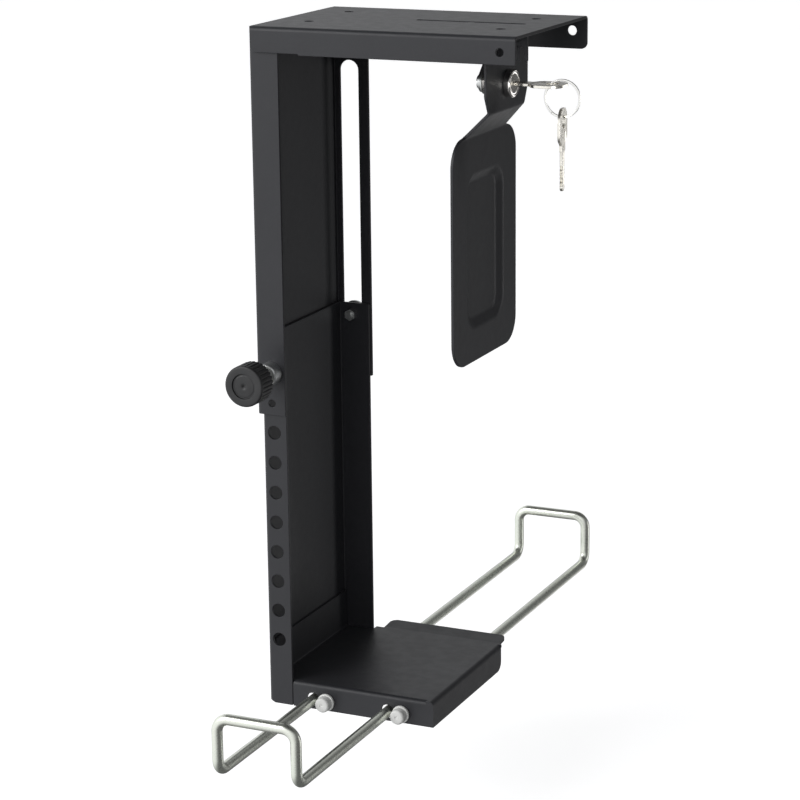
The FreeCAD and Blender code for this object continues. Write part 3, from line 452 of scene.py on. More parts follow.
class Shade:
    """Small helper that adds nodes to one material."""

    def __init__(self, name):
        self.material = bpy.data.materials.new(name)
        self.material.use_nodes = True
        self.tree = self.material.node_tree
        self.surface = self.tree.nodes["Principled BSDF"]

    def add(self, kind, properties=None, **inputs):
        node = self.tree.nodes.new("ShaderNode" + kind)
        for key, value in (properties or {}).items():
            setattr(node, key, value)
        for key, value in inputs.items():
            self.join(node.inputs[key.replace("_", " ")], value)
        return node

    def join(self, socket, value):
        if isinstance(value, bpy.types.NodeSocket):
            self.tree.links.new(value, socket)
        else:
            socket.default_value = value

    def set(self, **inputs):
        for key, value in inputs.items():
            self.join(self.surface.inputs[key.replace("_", " ")], value)

    def stretched(self, scale, attribute=None):
        """Object position, or a mesh attribute, with each axis scaled."""
        if attribute:
            source = self.add("Attribute", {"attribute_name": attribute}).outputs["Vector"]
        else:
            source = self.add("TexCoord").outputs["Object"]
        return self.add("Mapping", Vector=source, Scale=scale).outputs["Vector"]

    def noise(self, vector, scale, detail=2.0, roughness=0.5):
        node = self.add("TexNoise", Vector=vector, Scale=scale, Detail=detail, Roughness=roughness)
        return node.outputs["Fac"]

    def remap(self, value, low, high, to_low, to_high):
        node = self.add("MapRange", {"interpolation_type": "SMOOTHSTEP"})
        self.join(node.inputs["Value"], value)
        for key, number in (("From Min", low), ("From Max", high), ("To Min", to_low), ("To Max", to_high)):
            node.inputs[key].default_value = number
        return node.outputs["Result"]

    def math(self, operation, a, b):
        node = self.add("Math", {"operation": operation})
        self.join(node.inputs[0], a)
        self.join(node.inputs[1], b)
        return node.outputs[0]

    def mix(self, share, a, b):
        node = self.add("Mix", {"data_type": "RGBA"})
        self.join(node.inputs[0], share)
        self.join(node.inputs[6], a)
        self.join(node.inputs[7], b)
        return node.outputs[2]

    def edges(self, radius, low, high):
        """1 along outside and inside edges and 0 on flats."""
        soft = self.add("Bevel", {"samples": 4}, Radius=radius).outputs["Normal"]
        true = self.add("NewGeometry").outputs["Normal"]
        dot = self.add("VectorMath", {"operation": "DOT_PRODUCT"})
        self.join(dot.inputs[0], soft)
        self.join(dot.inputs[1], true)
        return self.remap(self.math("SUBTRACT", 1.0, dot.outputs["Value"]), low, high, 0.0, 1.0)

    def bump(self, layers):
        """Stack of (height socket, depth in metres) as one normal."""
        normal = None
        for height, depth in layers:
            node = self.add("Bump", Height=height, Distance=depth, Strength=1.0)
            if normal is not None:
                self.join(node.inputs["Normal"], normal)
            normal = node.outputs["Normal"]
        self.join(self.surface.inputs["Normal"], normal)


def powder_coat():
    """Satin powder coat: fine grain over a gentle orange peel, a touch paler and smoother on worn edges."""
    dark, pale = (0.0175, 0.0178, 0.0215, 1), (0.02, 0.0204, 0.0246, 1)
    speckled, worn = (0.03, 0.031, 0.033, 1), (0.042, 0.043, 0.047, 1)
    m = Shade("powder_coat_black")
    place = m.add("TexCoord").outputs["Object"]
    drift = m.remap(m.noise(place, 22, 4), 0.3, 0.7, 0.0, 1.0)
    speckle = m.remap(m.noise(place, 1500, 3), 0.45, 0.75, 0.0, 1.0)
    rubbing = m.remap(m.noise(place, 260, 5, 0.65), 0.4, 0.7, 0.0, 1.0)
    wear = m.math("MULTIPLY", m.edges(0.0007, 0.03, 0.3), rubbing)
    tone = m.mix(drift, dark, pale)
    tone = m.mix(m.math("MULTIPLY", speckle, 0.35), tone, speckled)
    tone = m.mix(m.math("MULTIPLY", wear, 0.5), tone, worn)
    rough = m.remap(m.noise(place, 140, 5), 0.3, 0.7, 0.43, 0.48)
    rough = m.math("ADD", rough, m.math("MULTIPLY", speckle, 0.08))
    rough = m.math("SUBTRACT", rough, m.math("MULTIPLY", wear, 0.12))
    m.set(Base_Color=tone, Roughness=rough, Metallic=0.0, IOR=1.52, Specular_IOR_Level=0.40)
    m.set(Coat_Weight=0.05, Coat_Roughness=0.35, Sheen_Weight=0.02, Sheen_Roughness=0.5)
    m.bump([(m.noise(place, 330, 2), 0.00005), (m.noise(place, 1700, 3, 0.6), 0.000022)])
    return m.material


def plated(name, colour, tint, streak, rough, attribute, metal=1.0):
    """Plated metal with fine streaks along or round the piece, patchy tint and brighter rubbed edges."""
    streaked, rubbed = (0.35, 0.35, 0.33, 1), (0.9, 0.89, 0.86, 1)
    m = Shade(name)
    place = m.add("TexCoord").outputs["Object"]
    lines = m.noise(m.stretched(streak, attribute), 1.0, 3, 0.6)
    patches = m.remap(m.noise(place, 60, 4), 0.35, 0.7, 0.0, 1.0)
    fine = m.noise(place, 900, 3)
    tone = m.mix(m.math("MULTIPLY", patches, 0.6), colour, tint)
    tone = m.mix(m.math("MULTIPLY", m.remap(lines, 0.4, 0.8, 0.0, 1.0), 0.12), tone, streaked)
    tone = m.mix(m.math("MULTIPLY", m.edges(0.0004, 0.02, 0.3), 0.5), tone, rubbed)
    texture = m.math("ADD", m.math("MULTIPLY", lines, 0.6), m.math("MULTIPLY", fine, 0.4))
    m.set(Base_Color=tone, Metallic=metal, Roughness=m.remap(texture, 0.3, 0.7, *rough))
    m.bump([(lines, 0.0000024), (fine, 0.0000025)])
    return m.material


def moulded(name, colour, tint, rough, grain_scale, grain_depth):
    """Moulded plastic: fine spark-eroded texture, soft colour drift, edges a little smoother."""
    m = Shade(name)
    place = m.add("TexCoord").outputs["Object"]
    drift = m.remap(m.noise(place, 75, 3), 0.3, 0.7, 0.0, 1.0)
    grain = m.noise(place, grain_scale, 3, 0.6)
    rub = m.edges(0.0005, 0.03, 0.3)
    rubbed = tuple(min(1, c * 1.5) for c in tint[:3]) + (1,)
    tone = m.mix(drift, colour, tint)
    tone = m.mix(m.math("MULTIPLY", rub, 0.25), tone, rubbed)
    smooth = m.math("SUBTRACT", m.remap(grain, 0.3, 0.7, *rough), m.math("MULTIPLY", rub, 0.1))
    m.set(Base_Color=tone, Roughness=smooth, IOR=1.5)
    m.bump([(grain, grain_depth), (m.noise(place, 240, 2), grain_depth)])
    return m.material


# How far the streaks of plated metal are stretched: along a wire, round a turned piece, over a flat one
# and along a key.
WIRE_LINES = (26.0, 26.0, 0.12)
TURNED_LINES = (1.5, 1.5, 7.0)
FLAT_LINES = (700.0, 6000.0, 700.0)
KEY_LINES = (0.6, 14.0, 1.0)

POWDER = powder_coat()
ZINC_WIRE = plated(
    "zinc_wire", (0.79, 0.81, 0.73, 1), (0.70, 0.74, 0.66, 1), WIRE_LINES, (0.24, 0.36), "grain", 0.97)
CHROME = plated(
    "lock_nickel", (0.86, 0.83, 0.80, 1), (0.78, 0.75, 0.72, 1), TURNED_LINES, (0.14, 0.24), "grain")
NICKEL_FLAT = plated(
    "flat_nickel", (0.78, 0.76, 0.72, 1), (0.66, 0.63, 0.58, 1), FLAT_LINES, (0.16, 0.28), None)
KEY_NICKEL = plated(
    "key_nickel", (0.90, 0.87, 0.80, 1), (0.82, 0.78, 0.69, 1), KEY_LINES, (0.2, 0.32), "grain", 0.95)
RING_STEEL = plated(
    "ring_steel", (0.86, 0.85, 0.82, 1), (0.74, 0.73, 0.70, 1), WIRE_LINES, (0.1, 0.2), "grain")
BRASS = plated("brass", (0.78, 0.57, 0.27, 1), (0.62, 0.43, 0.2, 1), FLAT_LINES, (0.24, 0.38), None)
ZINC_TURNED = plated(
    "zinc_turned", (0.70, 0.71, 0.70, 1), (0.58, 0.59, 0.6, 1), TURNED_LINES, (0.24, 0.4), "grain")
ZINC_FLAT = plated(
    "zinc_flat", (0.70, 0.71, 0.70, 1), (0.58, 0.59, 0.6, 1), FLAT_LINES, (0.26, 0.42), None)
WHITE_NYLON = moulded(
    "white_nylon", (0.84, 0.84, 0.82, 1), (0.78, 0.78, 0.75, 1), (0.42, 0.56), 1600, 0.00001)
BLACK_PLASTIC = moulded(
    "black_plastic", (0.014, 0.014, 0.015, 1), (0.022, 0.022, 0.023, 1), (0.4, 0.56), 1300, 0.00003)
GREY_NYLON = moulded(
    "grey_nylon", (0.62, 0.61, 0.57, 1), (0.54, 0.53, 0.5, 1), (0.4, 0.55), 1500, 0.00001)


def coat(piece, material):
    """Puts one material in every slot of a piece."""
    if not piece.material_slots:
        piece.data.materials.append(material)
    for entry in piece.material_slots:
        entry.material = material


def finish_piece(piece, body, material, node):
    """Looks, body and bookkeeping of a piece made here, which stands for a CAD node."""
    coat(piece, material)
    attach(piece, body)
    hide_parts(node)


def keep_node(node, material, edge):
    """A CAD node that stays: seams closed, edges broken, and coated."""
    seam, sharp = 0.002, 35
    piece = frame["nodes"][node]
    weld = piece.modifiers.new("weld", "WELD")
    weld.merge_threshold = mm(seam)
    bevel = piece.modifiers.new("broken_edges", "BEVEL")
    bevel.width = mm(edge)
    bevel.segments = 3
    bevel.limit_method = "ANGLE"
    bevel.angle_limit = math.radians(sharp)
    bevel.use_clamp_overlap = True
    even_normals(piece)
    coat(piece, material)


# ---------------------------------------------------------------- sheet metal

def make_top_plate():
    low, high = span("top_plate")
    half = SHEET / 2
    front_lip, rear_lip = 17.0, 21.0
    fold = Fold([
        (low.y + half, -front_lip, 0),
        (low.y + half, -half, PLATE_BEND),
        (high.y - half, -half, PLATE_BEND),
        (high.y - half, -rear_lip, 0),
    ])
    end = fold.length
    lip_round, notch_end, notch = 4, low.x + 33, 0.9
    outer = rounded([
        (low.x, notch, lip_round), (notch_end, notch, 0.4), (notch_end, 0, 0.4), (high.x, 0, 0.8),
        (high.x, end, lip_round), (low.x, end, lip_round),
    ])
    screw_x, screw_y, screw_r, screws_centre_y = 129.0, 58.0, 3.0, 3.5
    deck = fold.find(0, screws_centre_y)
    holes = [
        circle(sx * screw_x / 2, deck + sy * screw_y / 2, screw_r) for sx in (-1, 1) for sy in (-1, 1)
    ]
    stud_x, _, _ = middle("guide_stud")
    reach, half_slot = 36.5, 2.5
    slot = rectangle(stud_x - reach, stud_x + reach, deck - half_slot, deck + half_slot, half_slot - 0.01)
    holes.append(rounded(slot, 12))
    cross_x, cross_z, front_cross_r, rear_cross_r = 78.0, -9.6, 2.5, 3.1
    holes.append(circle(cross_x, cross_z + front_lip, front_cross_r))
    holes.append(circle(cross_x, end - (cross_z + rear_lip), rear_cross_r))

    def place(x, s, w):
        y, z = fold.place(s, w)
        return Vector((x, y, z))

    plate = sheet("plate_sheet", outer, holes, place, SHEET, SHEET_EDGE, fold.at[1:-1])
    finish_piece(plate, "frame", POWDER, "top_plate")


def channel_fold(low, high, front_width, rear_width):
    """Cross-section of a post: web on the left, front and rear flanges."""
    half = SHEET / 2
    web = low.x + half
    return Fold([
        (low.x + front_width, low.y + half, 0),
        (web, low.y + half, POST_BEND),
        (web, high.y - half, POST_BEND),
        (low.x + rear_width, high.y - half, 0),
    ])


def make_post(node, body, fold, corners, holes):
    """Post bent from a flat outline of heights and lengths along the cross-section."""

    def place(z, s, w):
        x, y = fold.place(s, w)
        return Vector((x, y, z))

    post = sheet(node + "_sheet", rounded(corners, 4), holes, place, SHEET, SHEET_EDGE, fold.at[1:-1])
    finish_piece(post, body, POWDER, node)


def make_upper_post():
    low, high = span("upper_post")
    front_width, rear_width, end_round, flange_top = 20.0, 26.5, 0.6, -3.2
    fold = channel_fold(low, high, front_width, rear_width)
    end, bottom, top = fold.length, low.z, high.z
    front_side = fold.find(0, low.x + SHEET)
    rear_side = end - (rear_width - SHEET)
    corners = [
        (bottom, 0, end_round), (flange_top, 0, end_round), (flange_top, front_side, 0),
        (top, front_side, 0.2), (top, rear_side, 0.2), (flange_top, rear_side, 0),
        (flange_top, end, end_round), (bottom, end, end_round),
    ]
    knob_x, _, knob_z = middle("knob_boss")
    knob_s = fold.find(0, knob_x)
    boss_r, small_r = 5.5, 2.5
    slot_x, _, _ = middle("guide_sleeve")
    slot_s = end - (low.x + rear_width - slot_x)
    slot_bottom, slot_top, half_slot = -211.8, -34.5, 6.6
    slot = rectangle(slot_bottom, slot_top, slot_s - half_slot, slot_s + half_slot, half_slot - 0.01)
    holes = [
        circle(knob_z, knob_s, boss_r), circle(knob_z - HOLE_PITCH, knob_s, small_r, 24), rounded(slot, 14),
    ]
    make_post("upper_post", "frame", fold, corners, holes)


def make_lower_post():
    low, high = span("lower_post")
    front_width, rear_width, end_round = 17.0, 23.2, 0.6
    fold = channel_fold(low, high, front_width, rear_width)
    end, bottom, top = fold.length, low.z, high.z
    relief_in, relief_up = 4, 3
    front_s = fold.find(0, low.x + relief_in)
    rear_s = end - (rear_width - relief_in)
    web_front = fold.find(1, low.y + relief_in)
    web_rear = fold.find(1, high.y - relief_in)
    corners = [
        (bottom, 0, end_round), (top, 0, end_round), (top, end, end_round), (bottom, end, end_round),
        (bottom, rear_s, 0), (bottom + relief_up, web_rear, 0), (bottom + relief_up, web_front, 0),
        (bottom, front_s, 0),
    ]
    knob_x, _, knob_z = middle("knob_boss")
    hole_s = fold.find(0, knob_x)
    hole_count, hole_r, screw_r = 10, 4.5, 2.1
    holes = [circle(knob_z - HOLE_PITCH * i, hole_s, hole_r) for i in range(hole_count)]
    screw_x, _, screw_z = middle("guide_screw")
    holes.append(circle(screw_z, end - (low.x + rear_width - screw_x), screw_r, 24))
    make_post("lower_post", "lower_frame", fold, corners, holes)


def recess_depth(distance, depth, slope, soft):
    """How deep the dish is at a distance inside its outline: straight slope, both creases rounded."""
    t = min(max(distance + soft / 2, 0), slope + soft)
    ramp = 0.0
    if t < soft:
        ramp = t * t / (2 * soft)
    elif t < slope:
        ramp = t - soft / 2
    else:
        rest = slope + soft - t
        ramp = slope - rest * rest / (2 * soft)
    return depth * ramp / slope


def make_clamp_arm():
    low, high = span("clamp_arm")
    _, centre, _ = middle("clamp_arm")
    half_sheet = SHEET / 2
    arm_x, leg_end, leg_top, bottom = high.x, low.x, high.z, low.z
    pad_x, upper_crease, lower_crease, upper_bend, lower_bend = 42.0, -52.5, -68.0, 3, 4
    lean = math.atan2(arm_x - pad_x, upper_crease - lower_crease)
    shift = half_sheet * math.tan(lean / 2)
    fold = Fold([
        (leg_end, leg_top - half_sheet, 0),
        (arm_x - half_sheet, leg_top - half_sheet, PLATE_BEND),
        (arm_x - half_sheet, upper_crease + shift, upper_bend),
        (pad_x - half_sheet, lower_crease + shift, lower_bend),
        (pad_x - half_sheet, bottom, 0),
    ], 10)
    corner = fold.find(0, arm_x - half_sheet - 1)

    def down(z):
        return fold.find(1, z, corner)

    leg, shoulder, width, gap_reach, gap_bottom = 14.0, -12.0, 33.7, 21.5, -21.5
    waist, hip, pad, pad_round = 28, 32, 51.0, 17
    side = [
        (width, down(shoulder), 3), (width, down(upper_crease + 11), 6), (waist, down(upper_crease), 6),
        (hip, down(lower_crease + 1), 3), (pad, down(lower_crease - 2), pad_round),
        (pad, fold.length, pad_round),
    ]
    rear_top = [(leg, 0, 1.5), (leg, down(shoulder), 2.5)]
    front_top = [
        (-gap_reach, down(shoulder), 2), (-gap_reach, down(gap_bottom), 1.5), (-leg, down(gap_bottom), 1.5),
        (-leg, 0, 1.5),
    ]
    mirrored = [(-y, s, r) for y, s, r in reversed(side)]
    outer = rounded(rear_top + side + mirrored + front_top, 12)
    lock_r, stud_r = 8.0, 3.0
    _, _, lock_z = middle("lock_housing")
    stud_x, _, _ = middle("guide_stud")
    holes = [circle(0, down(lock_z), lock_r), circle(0, fold.find(0, stud_x), stud_r)]
    dish_top, dish_bottom = down(-91.0), down(-189.5)
    half_width, dish_round, depth, slope, soft = 29.5, 14.0, 3.5, 6.0, 2.4
    contours = []
    for inset in (-1.2, -0.6, 0.0, 0.6, 1.2, 3.0, 4.8, 5.4, 6.0, 6.6, 7.2):
        u = half_width - inset
        outline = rectangle(-u, u, dish_top + inset, dish_bottom - inset, dish_round - inset)
        contours.append(rounded(outline, 14))
    middle_s, half_s = (dish_top + dish_bottom) / 2, (dish_bottom - dish_top) / 2

    def dish(u, s, side):
        du = abs(u) - (half_width - dish_round)
        ds = abs(s - middle_s) - (half_s - dish_round)
        outside = math.hypot(max(du, 0), max(ds, 0)) + min(max(du, ds), 0) - dish_round
        return -recess_depth(-outside, depth, slope, soft)

    def place(u, s, w):
        x, z = fold.place(s, w)
        return Vector((x, centre + u, z))

    arm = sheet("clamp_arm_sheet", outer, holes, place, SHEET, SHEET_EDGE, fold.at[1:-1], contours, dish)
    finish_piece(arm, "clamp", POWDER, "clamp_arm")


# ---------------------------------------------------------------- wire brackets

def bracket_path(node, outward):
    """Middle line of a wire bracket: two level legs, upturned and joined by a crossbar."""
    run_length, bend_steps = 12, 16
    low, high = span(node)
    left, right = low.x + WIRE_R, high.x - WIRE_R
    level, top = low.z + WIRE_R, high.z - WIRE_R
    bar = (high.y - WIRE_R) if outward > 0 else (low.y + WIRE_R)
    tip = low.y if outward > 0 else high.y
    corners = [Vector((left, bar, level)), Vector((left, bar, top)), Vector((right, bar, top)),
               Vector((right, bar, level))]
    stops = [Vector((left, tip, level))] + corners + [Vector((right, tip, level))]
    path = [stops[0]]

    def straight_to(stop):
        start = path[-1].copy()
        run = stop - start
        pieces = max(1, round(run.length / run_length))
        path.extend(start + run * (k / pieces) for k in range(1, pieces + 1))

    for i, here in enumerate(corners, 1):
        back = (stops[i - 1] - here).normalized()
        on = (stops[i + 1] - here).normalized()
        enter = here + back * WIRE_BEND
        pivot = enter + on * WIRE_BEND
        straight_to(enter)
        for k in range(1, bend_steps + 1):
            turn = math.pi / 2 * k / bend_steps
            path.append(pivot - on * (WIRE_BEND * math.cos(turn)) - back * (WIRE_BEND * math.sin(turn)))
    straight_to(stops[-1])
    return path


def make_bracket(node, body, outward):
    wire = sweep(node + "_swept", bracket_path(node, outward), circle(0, 0, WIRE_R, 32))
    finish_piece(wire, body, ZINC_WIRE, node)


def make_caps(node, body, outward):
    low, high = span(node)
    tip = high.y if outward > 0 else low.y
    radius, rim, rim_width, length, floor_width, dimple = 4.95, 5.8, 2.0, 8.0, 1.5, 0.35
    profile = rounded([
        (0, WIRE_R, 0.2), (0, rim, 0.5), (rim_width, rim, 0.5), (rim_width, radius, 0.35),
        (length, radius, 1.6), (length, 1.3, 0.2), (length - dimple, 1.0, 0.1),
        (length - dimple, AXIS_R, 0), (length - floor_width, AXIS_R, 0), (length - floor_width, WIRE_R, 0.1),
    ], 5)
    for number, x in enumerate((low.x + rim, high.x - rim), 1):
        start = (x, tip - outward * length, (low.z + high.z) / 2)
        cap = lathe(f"{node}_{number}", start, (0, outward, 0), profile, 48)
        finish_piece(cap, body, WHITE_NYLON, node)


# ---------------------------------------------------------------- knob

def make_knob():
    low, high = span("knob_head")
    x, _, z = middle("knob_head")
    centre = (x, low.y, z)
    whole = high.y - low.y
    rim, head, neck, stud_r, stud_depth = 13.1, 16.0, 8.0, 3.9, 6
    seat_r, seat_depth, well_r, well_depth = 8.0, 1.4, 6.5, 4.0
    profile = rounded([
        (0, seat_r, 0.4), (0, rim, 1.4), (head, rim, 1.6), (head, neck, 1.2), (whole, neck, 0.4),
        (whole, stud_r, 0.3), (whole - stud_depth, stud_r, 0.2), (whole - stud_depth, AXIS_R, 0),
        (well_depth, AXIS_R, 0), (well_depth, well_r, 0.3), (seat_depth, well_r, 0.2),
        (seat_depth, seat_r, 0.2),
    ], 6)
    dense = []
    for i, point in enumerate(profile):
        before = profile[i - 1]
        if i and point[0] - before[0] > 8 and point[1] > 12:
            dense += [(before[0] + (point[0] - before[0]) * k / 10, point[1]) for k in range(1, 10)]
        dense.append(point)
    grip_r, crown, groove_depth = 12.2, 0.15, 0.75

    def groove(row, angle):
        along, radius = dense[row]
        if radius < grip_r:
            return 0
        fade = min(1, max(0, (along - 1.6) / 1.2)) * min(1, max(0, (head + 0.2 - along) / 0.8))
        wave = math.cos(angle * KNOB_GROOVES)
        return crown - groove_depth * fade * max(0, wave) ** 1.6

    grip = lathe("knob_grip", centre, (0, 1, 0), dense, KNOB_GROOVES * 10, groove)
    finish_piece(grip, "knob", BLACK_PLASTIC, "knob_head")
    badge_r, plug_r = 7.9, 6.45
    cap_profile = rounded([
        (0.5, AXIS_R, 0), (0.42, 3.0, 0), (0.6, 6.6, 0.3), (0.85, 7.2, 0.2), (0.7, badge_r, 0.25),
        (seat_depth, badge_r, 0.1), (seat_depth, plug_r, 0.1), (well_depth, plug_r, 0.2),
        (well_depth, AXIS_R, 0),
    ], 4)
    cap = lathe("knob_badge", centre, (0, 1, 0), cap_profile, 72)
    finish_piece(cap, "knob", BLACK_PLASTIC, "knob_cap")


def make_stud():
    low, high = span("knob_stud")
    x, _, z = middle("knob_stud")
    whole = high.y - low.y
    _, boss_high = span("knob_boss")
    shoulder = boss_high.y - low.y - 3.0
    thread_r, root_r, pin_r, tip_r = 3.9, 3.4, 3.25, 2.4
    rows = thread_rows(0.4, shoulder - 0.5, thread_r, STUD_PITCH, 8)
    profile = [(0, AXIS_R), (0, root_r)] + rows + [(shoulder, root_r)]
    profile += [
        (shoulder + 0.1, pin_r), (whole - 0.8, pin_r), (whole - 0.3, 2.9), (whole, tip_r), (whole, AXIS_R),
    ]
    wobble = threaded(profile, 2, 1 + len(rows), STUD_PITCH)
    stud = lathe("knob_screw", (x, low.y, z), (0, 1, 0), profile, 56, wobble)
    finish_piece(stud, "knob", ZINC_TURNED, "knob_stud")


# ---------------------------------------------------------------- lock

def make_lock_housing():
    low, high = span("lock_housing")
    _, y, z = middle("lock_housing")
    whole = high.x - low.x
    barrel = whole - 5.0
    thread_r, root_r, bore_r, head_r, face_step = 7.9, 7.5, 6.05, 8.75, 0.55
    rows = thread_rows(0.5, barrel - 1.2, thread_r, BARREL_PITCH, 7)
    head = rounded([
        (barrel, head_r, 0.4), (whole, head_r, 1.5), (whole, 7.4, 0.25), (whole - face_step, 6.9, 0.2),
        (whole - face_step, bore_r, 0.15), (0, bore_r, 0), (0, root_r, 0), (barrel, root_r, 0),
    ], 6)
    front = [p for p in head if p[0] > barrel - 0.01 and not (p[0] < barrel + 0.01 and p[1] < 7.6)]
    profile = [(0, bore_r), (0, root_r)] + rows + [(barrel - 1.0, root_r), (barrel, root_r)] + front
    wobble = threaded(profile, 2, 1 + len(rows), BARREL_PITCH)
    housing = lathe("lock_barrel", (low.x, y, z), (1, 0, 0), profile, 72, wobble)
    finish_piece(housing, "clamp", CHROME, "lock_housing")


def make_lock_nut():
    """Hexagon nut, both faces chamfered at the corners."""
    low, high = span("lock_nut")
    _, y, z = middle("lock_nut")
    start = Vector((low.x, y, z))
    whole = high.x - low.x
    flat_r, bore_r, segments, sides = 10.5, 7.95, 96, 6
    face_r = flat_r * 1.02
    chamfer = math.tan(math.radians(30))
    sector = FULL_TURN / sides
    axis, first, second = axis_frame((1, 0, 0))
    rings = [[] for _ in range(6)]
    for i in range(segments):
        angle = FULL_TURN * i / segments
        corner_r = flat_r / math.cos((angle + sector / 2) % sector - sector / 2)
        drop = max(0, corner_r - face_r) * chamfer
        rim_r = min(corner_r, face_r)
        spoke = first * math.sin(angle) + second * math.cos(angle)
        section = (
            (0, bore_r), (0, rim_r), (drop, corner_r),
            (whole - drop, corner_r), (whole, rim_r), (whole, bore_r),
        )
        for ring, (along, radius) in zip(rings, section):
            ring.append((start + axis * along + spoke * radius, (math.cos(angle), math.sin(angle), along)))
    points = [point for ring in rings for point, _ in ring]
    grain = [direction for ring in rings for _, direction in ring]
    nut = mesh_object("lock_hex_nut", points, ring_faces(len(rings), segments), grain)
    nut.data.polygons.foreach_set("use_smooth", [False] * len(nut.data.polygons))
    finish_piece(nut, "clamp", ZINC_FLAT, "lock_nut")


# ---------------------------------------------------------------- keys

def key_outline():
    """Key seen flat, its tip at 0: five cuts on each side of the blade, a shoulder and a round bow."""
    half, bow, shoulder = KEY_BLADE_W / 2, 11.0, KEY_BLADE_W / 2 + 1.6
    blade, end = KEY_BLADE_LENGTH, KEY_BLADE_LENGTH + KEY_BOW_LENGTH
    first_cut, cut_pitch, flat = 4.2, 2.6, 0.15
    cuts = []
    for i in range(5):
        x = first_cut + i * cut_pitch
        depth = 0.7 + 0.35 * ((2 * i) % 3)
        cuts += [
            (x - depth - flat, half, 0.15), (x - flat, half - depth, 0.12), (x + flat, half - depth, 0.12),
            (x + depth + flat, half, 0.15),
        ]
    head = [
        (blade - 2, half, 0), (blade - 2, shoulder, 0.5), (blade + 2.5, shoulder, 1.5), (blade + 6, bow, 5),
        (end, bow, 9),
    ]
    side = [(0, 1.4, 0.6), (2.0, half, 0.4)] + cuts + head
    return side + [(x, -y, r) for x, y, r in reversed(side)]


def box_distance(u, s, u0, u1, s0, s1, radius):
    """Distance inside a rounded rectangle, negative outside."""
    du = abs(u - (u0 + u1) / 2) - ((u1 - u0) / 2 - radius)
    ds = abs(s - (s0 + s1) / 2) - ((s1 - s0) / 2 - radius)
    return radius - math.hypot(max(du, 0), max(ds, 0)) - min(max(du, ds), 0)


def key_sheet(name, place):
    """Flat key: bitted edges, a groove along the blade and a sunk panel on each side of the bow."""
    blade, end = KEY_BLADE_LENGTH, KEY_BLADE_LENGTH + KEY_BOW_LENGTH
    hole = circle(end - KEY_WEB - KEY_HOLE_D / 2, 0, KEY_HOLE_D / 2, 48)
    groove = (2.5, blade - 3, -0.75, 0.75, 0.7)
    panel = (blade + 2.6, blade + 10.2, -7.2, 7.2, 3.0)
    groove_depth, groove_wall, panel_depth, panel_wall = 0.45, 0.3, 0.28, 0.7
    contours = []
    for (u0, u1, s0, s1, radius), insets in ((groove, (0.0, 0.3)), (panel, (0.0, 0.35, 0.7))):
        for inset in insets:
            outline = rectangle(u0 + inset, u1 - inset, s0 + inset, s1 - inset, max(0.1, radius - inset))
            contours.append(rounded(outline, 6))

    def relief(u, s, side):
        depth = groove_depth * ease(box_distance(u, s, *groove), groove_wall)
        depth += panel_depth * ease(box_distance(u, s, *panel), panel_wall)
        return -side * depth

    return sheet(name, rounded(key_outline(), 7), [hole], place, KEY_T, KEY_EDGE, (), contours, relief)


def make_keys():
    low, high = span("key")
    centre = (low + high) / 2
    key = key_sheet("key_blank", lambda u, s, w: Vector((low.x + u, centre.y + s, centre.z + w)))
    finish_piece(key, "key_body", KEY_NICKEL, "key")
    low, high = span("spare_key")
    centre = (low + high) / 2
    across = Vector((-math.sin(SPARE_KEY_TURN), math.cos(SPARE_KEY_TURN), 0))
    through = Vector((-math.cos(SPARE_KEY_TURN), -math.sin(SPARE_KEY_TURN), 0))

    def hang(u, s, w):
        return Vector((centre.x, centre.y, low.z + u)) + across * s + through * w

    spare = key_sheet("spare_key_blank", hang)
    finish_piece(spare, "spare_key_body", KEY_NICKEL, "spare_key")


def make_ring():
    """Split ring: two turns of flat wire, stepping over once."""
    low, high = span("key_ring")
    centre = (low + high) / 2
    wire = high.y - low.y
    radius = (high.x - low.x) / 2 - wire / 2
    level = wire / 4 + 0.005
    path = []
    count, end_gap, step_at = 240, RING_STEP + 0.1, math.radians(200)
    first, last = end_gap, 2 * FULL_TURN - end_gap
    for i in range(count + 1):
        angle = first + (last - first) * i / count
        step = ease(angle - FULL_TURN + RING_STEP, 2 * RING_STEP)
        y = centre.y + level * (2 * step - 1)
        turn = angle + step_at
        path.append(Vector((centre.x + radius * math.cos(turn), y, centre.z + radius * math.sin(turn))))
    half_flat, half_tall = wire / 4 - 0.01, wire / 2
    section = rounded(rectangle(-half_tall, half_tall, -half_flat, half_flat, 0.2), 4)
    tangent = (path[1] - path[0]).normalized()
    _, side, other = axis_frame(tangent)
    if abs(side.y) > abs(other.y):
        section = [(b, a) for a, b in section]
    ring = sweep("split_ring", path, section)
    finish_piece(ring, "ring_body", RING_STEEL, "key_ring")


# ---------------------------------------------------------------- build

make_top_plate()
make_upper_post()
make_lower_post()
make_clamp_arm()
make_bracket("front_wire", "front_bracket", -1)
make_bracket("rear_wire", "rear_bracket", 1)
make_caps("front_wire_caps", "front_bracket", 1)
make_caps("rear_wire_caps", "rear_bracket", -1)
make_knob()
make_stud()
make_lock_housing()
make_lock_nut()
make_keys()
make_ring()

for node, material, edge in (
    ("slide_keeper", POWDER, 0.3),
    ("lock_rack", POWDER, 0.3),
    ("base_tray", POWDER, 0.3),
    ("rod_guide", POWDER, 0.3),
    ("knob_boss", ZINC_FLAT, 0.15),
    ("guide_sleeve", GREY_NYLON, 0.2),
    ("guide_screw", ZINC_FLAT, 0.12),
    ("guide_nut", ZINC_FLAT, 0.2),
    ("guide_stud", POWDER, 0.2),
    ("lock_plug", NICKEL_FLAT, 0.12),
    ("wafer_tumblers", BRASS, 0.05),
    ("stop_washer", ZINC_FLAT, 0.1),
    ("lock_cam", ZINC_FLAT, 0.2),
    ("cam_screw", ZINC_FLAT, 0.15),
    ("knob_washer", GREY_NYLON, 0.15),
):
    keep_node(node, material, edge)


# ---------------------------------------------------------------- floor, light and camera

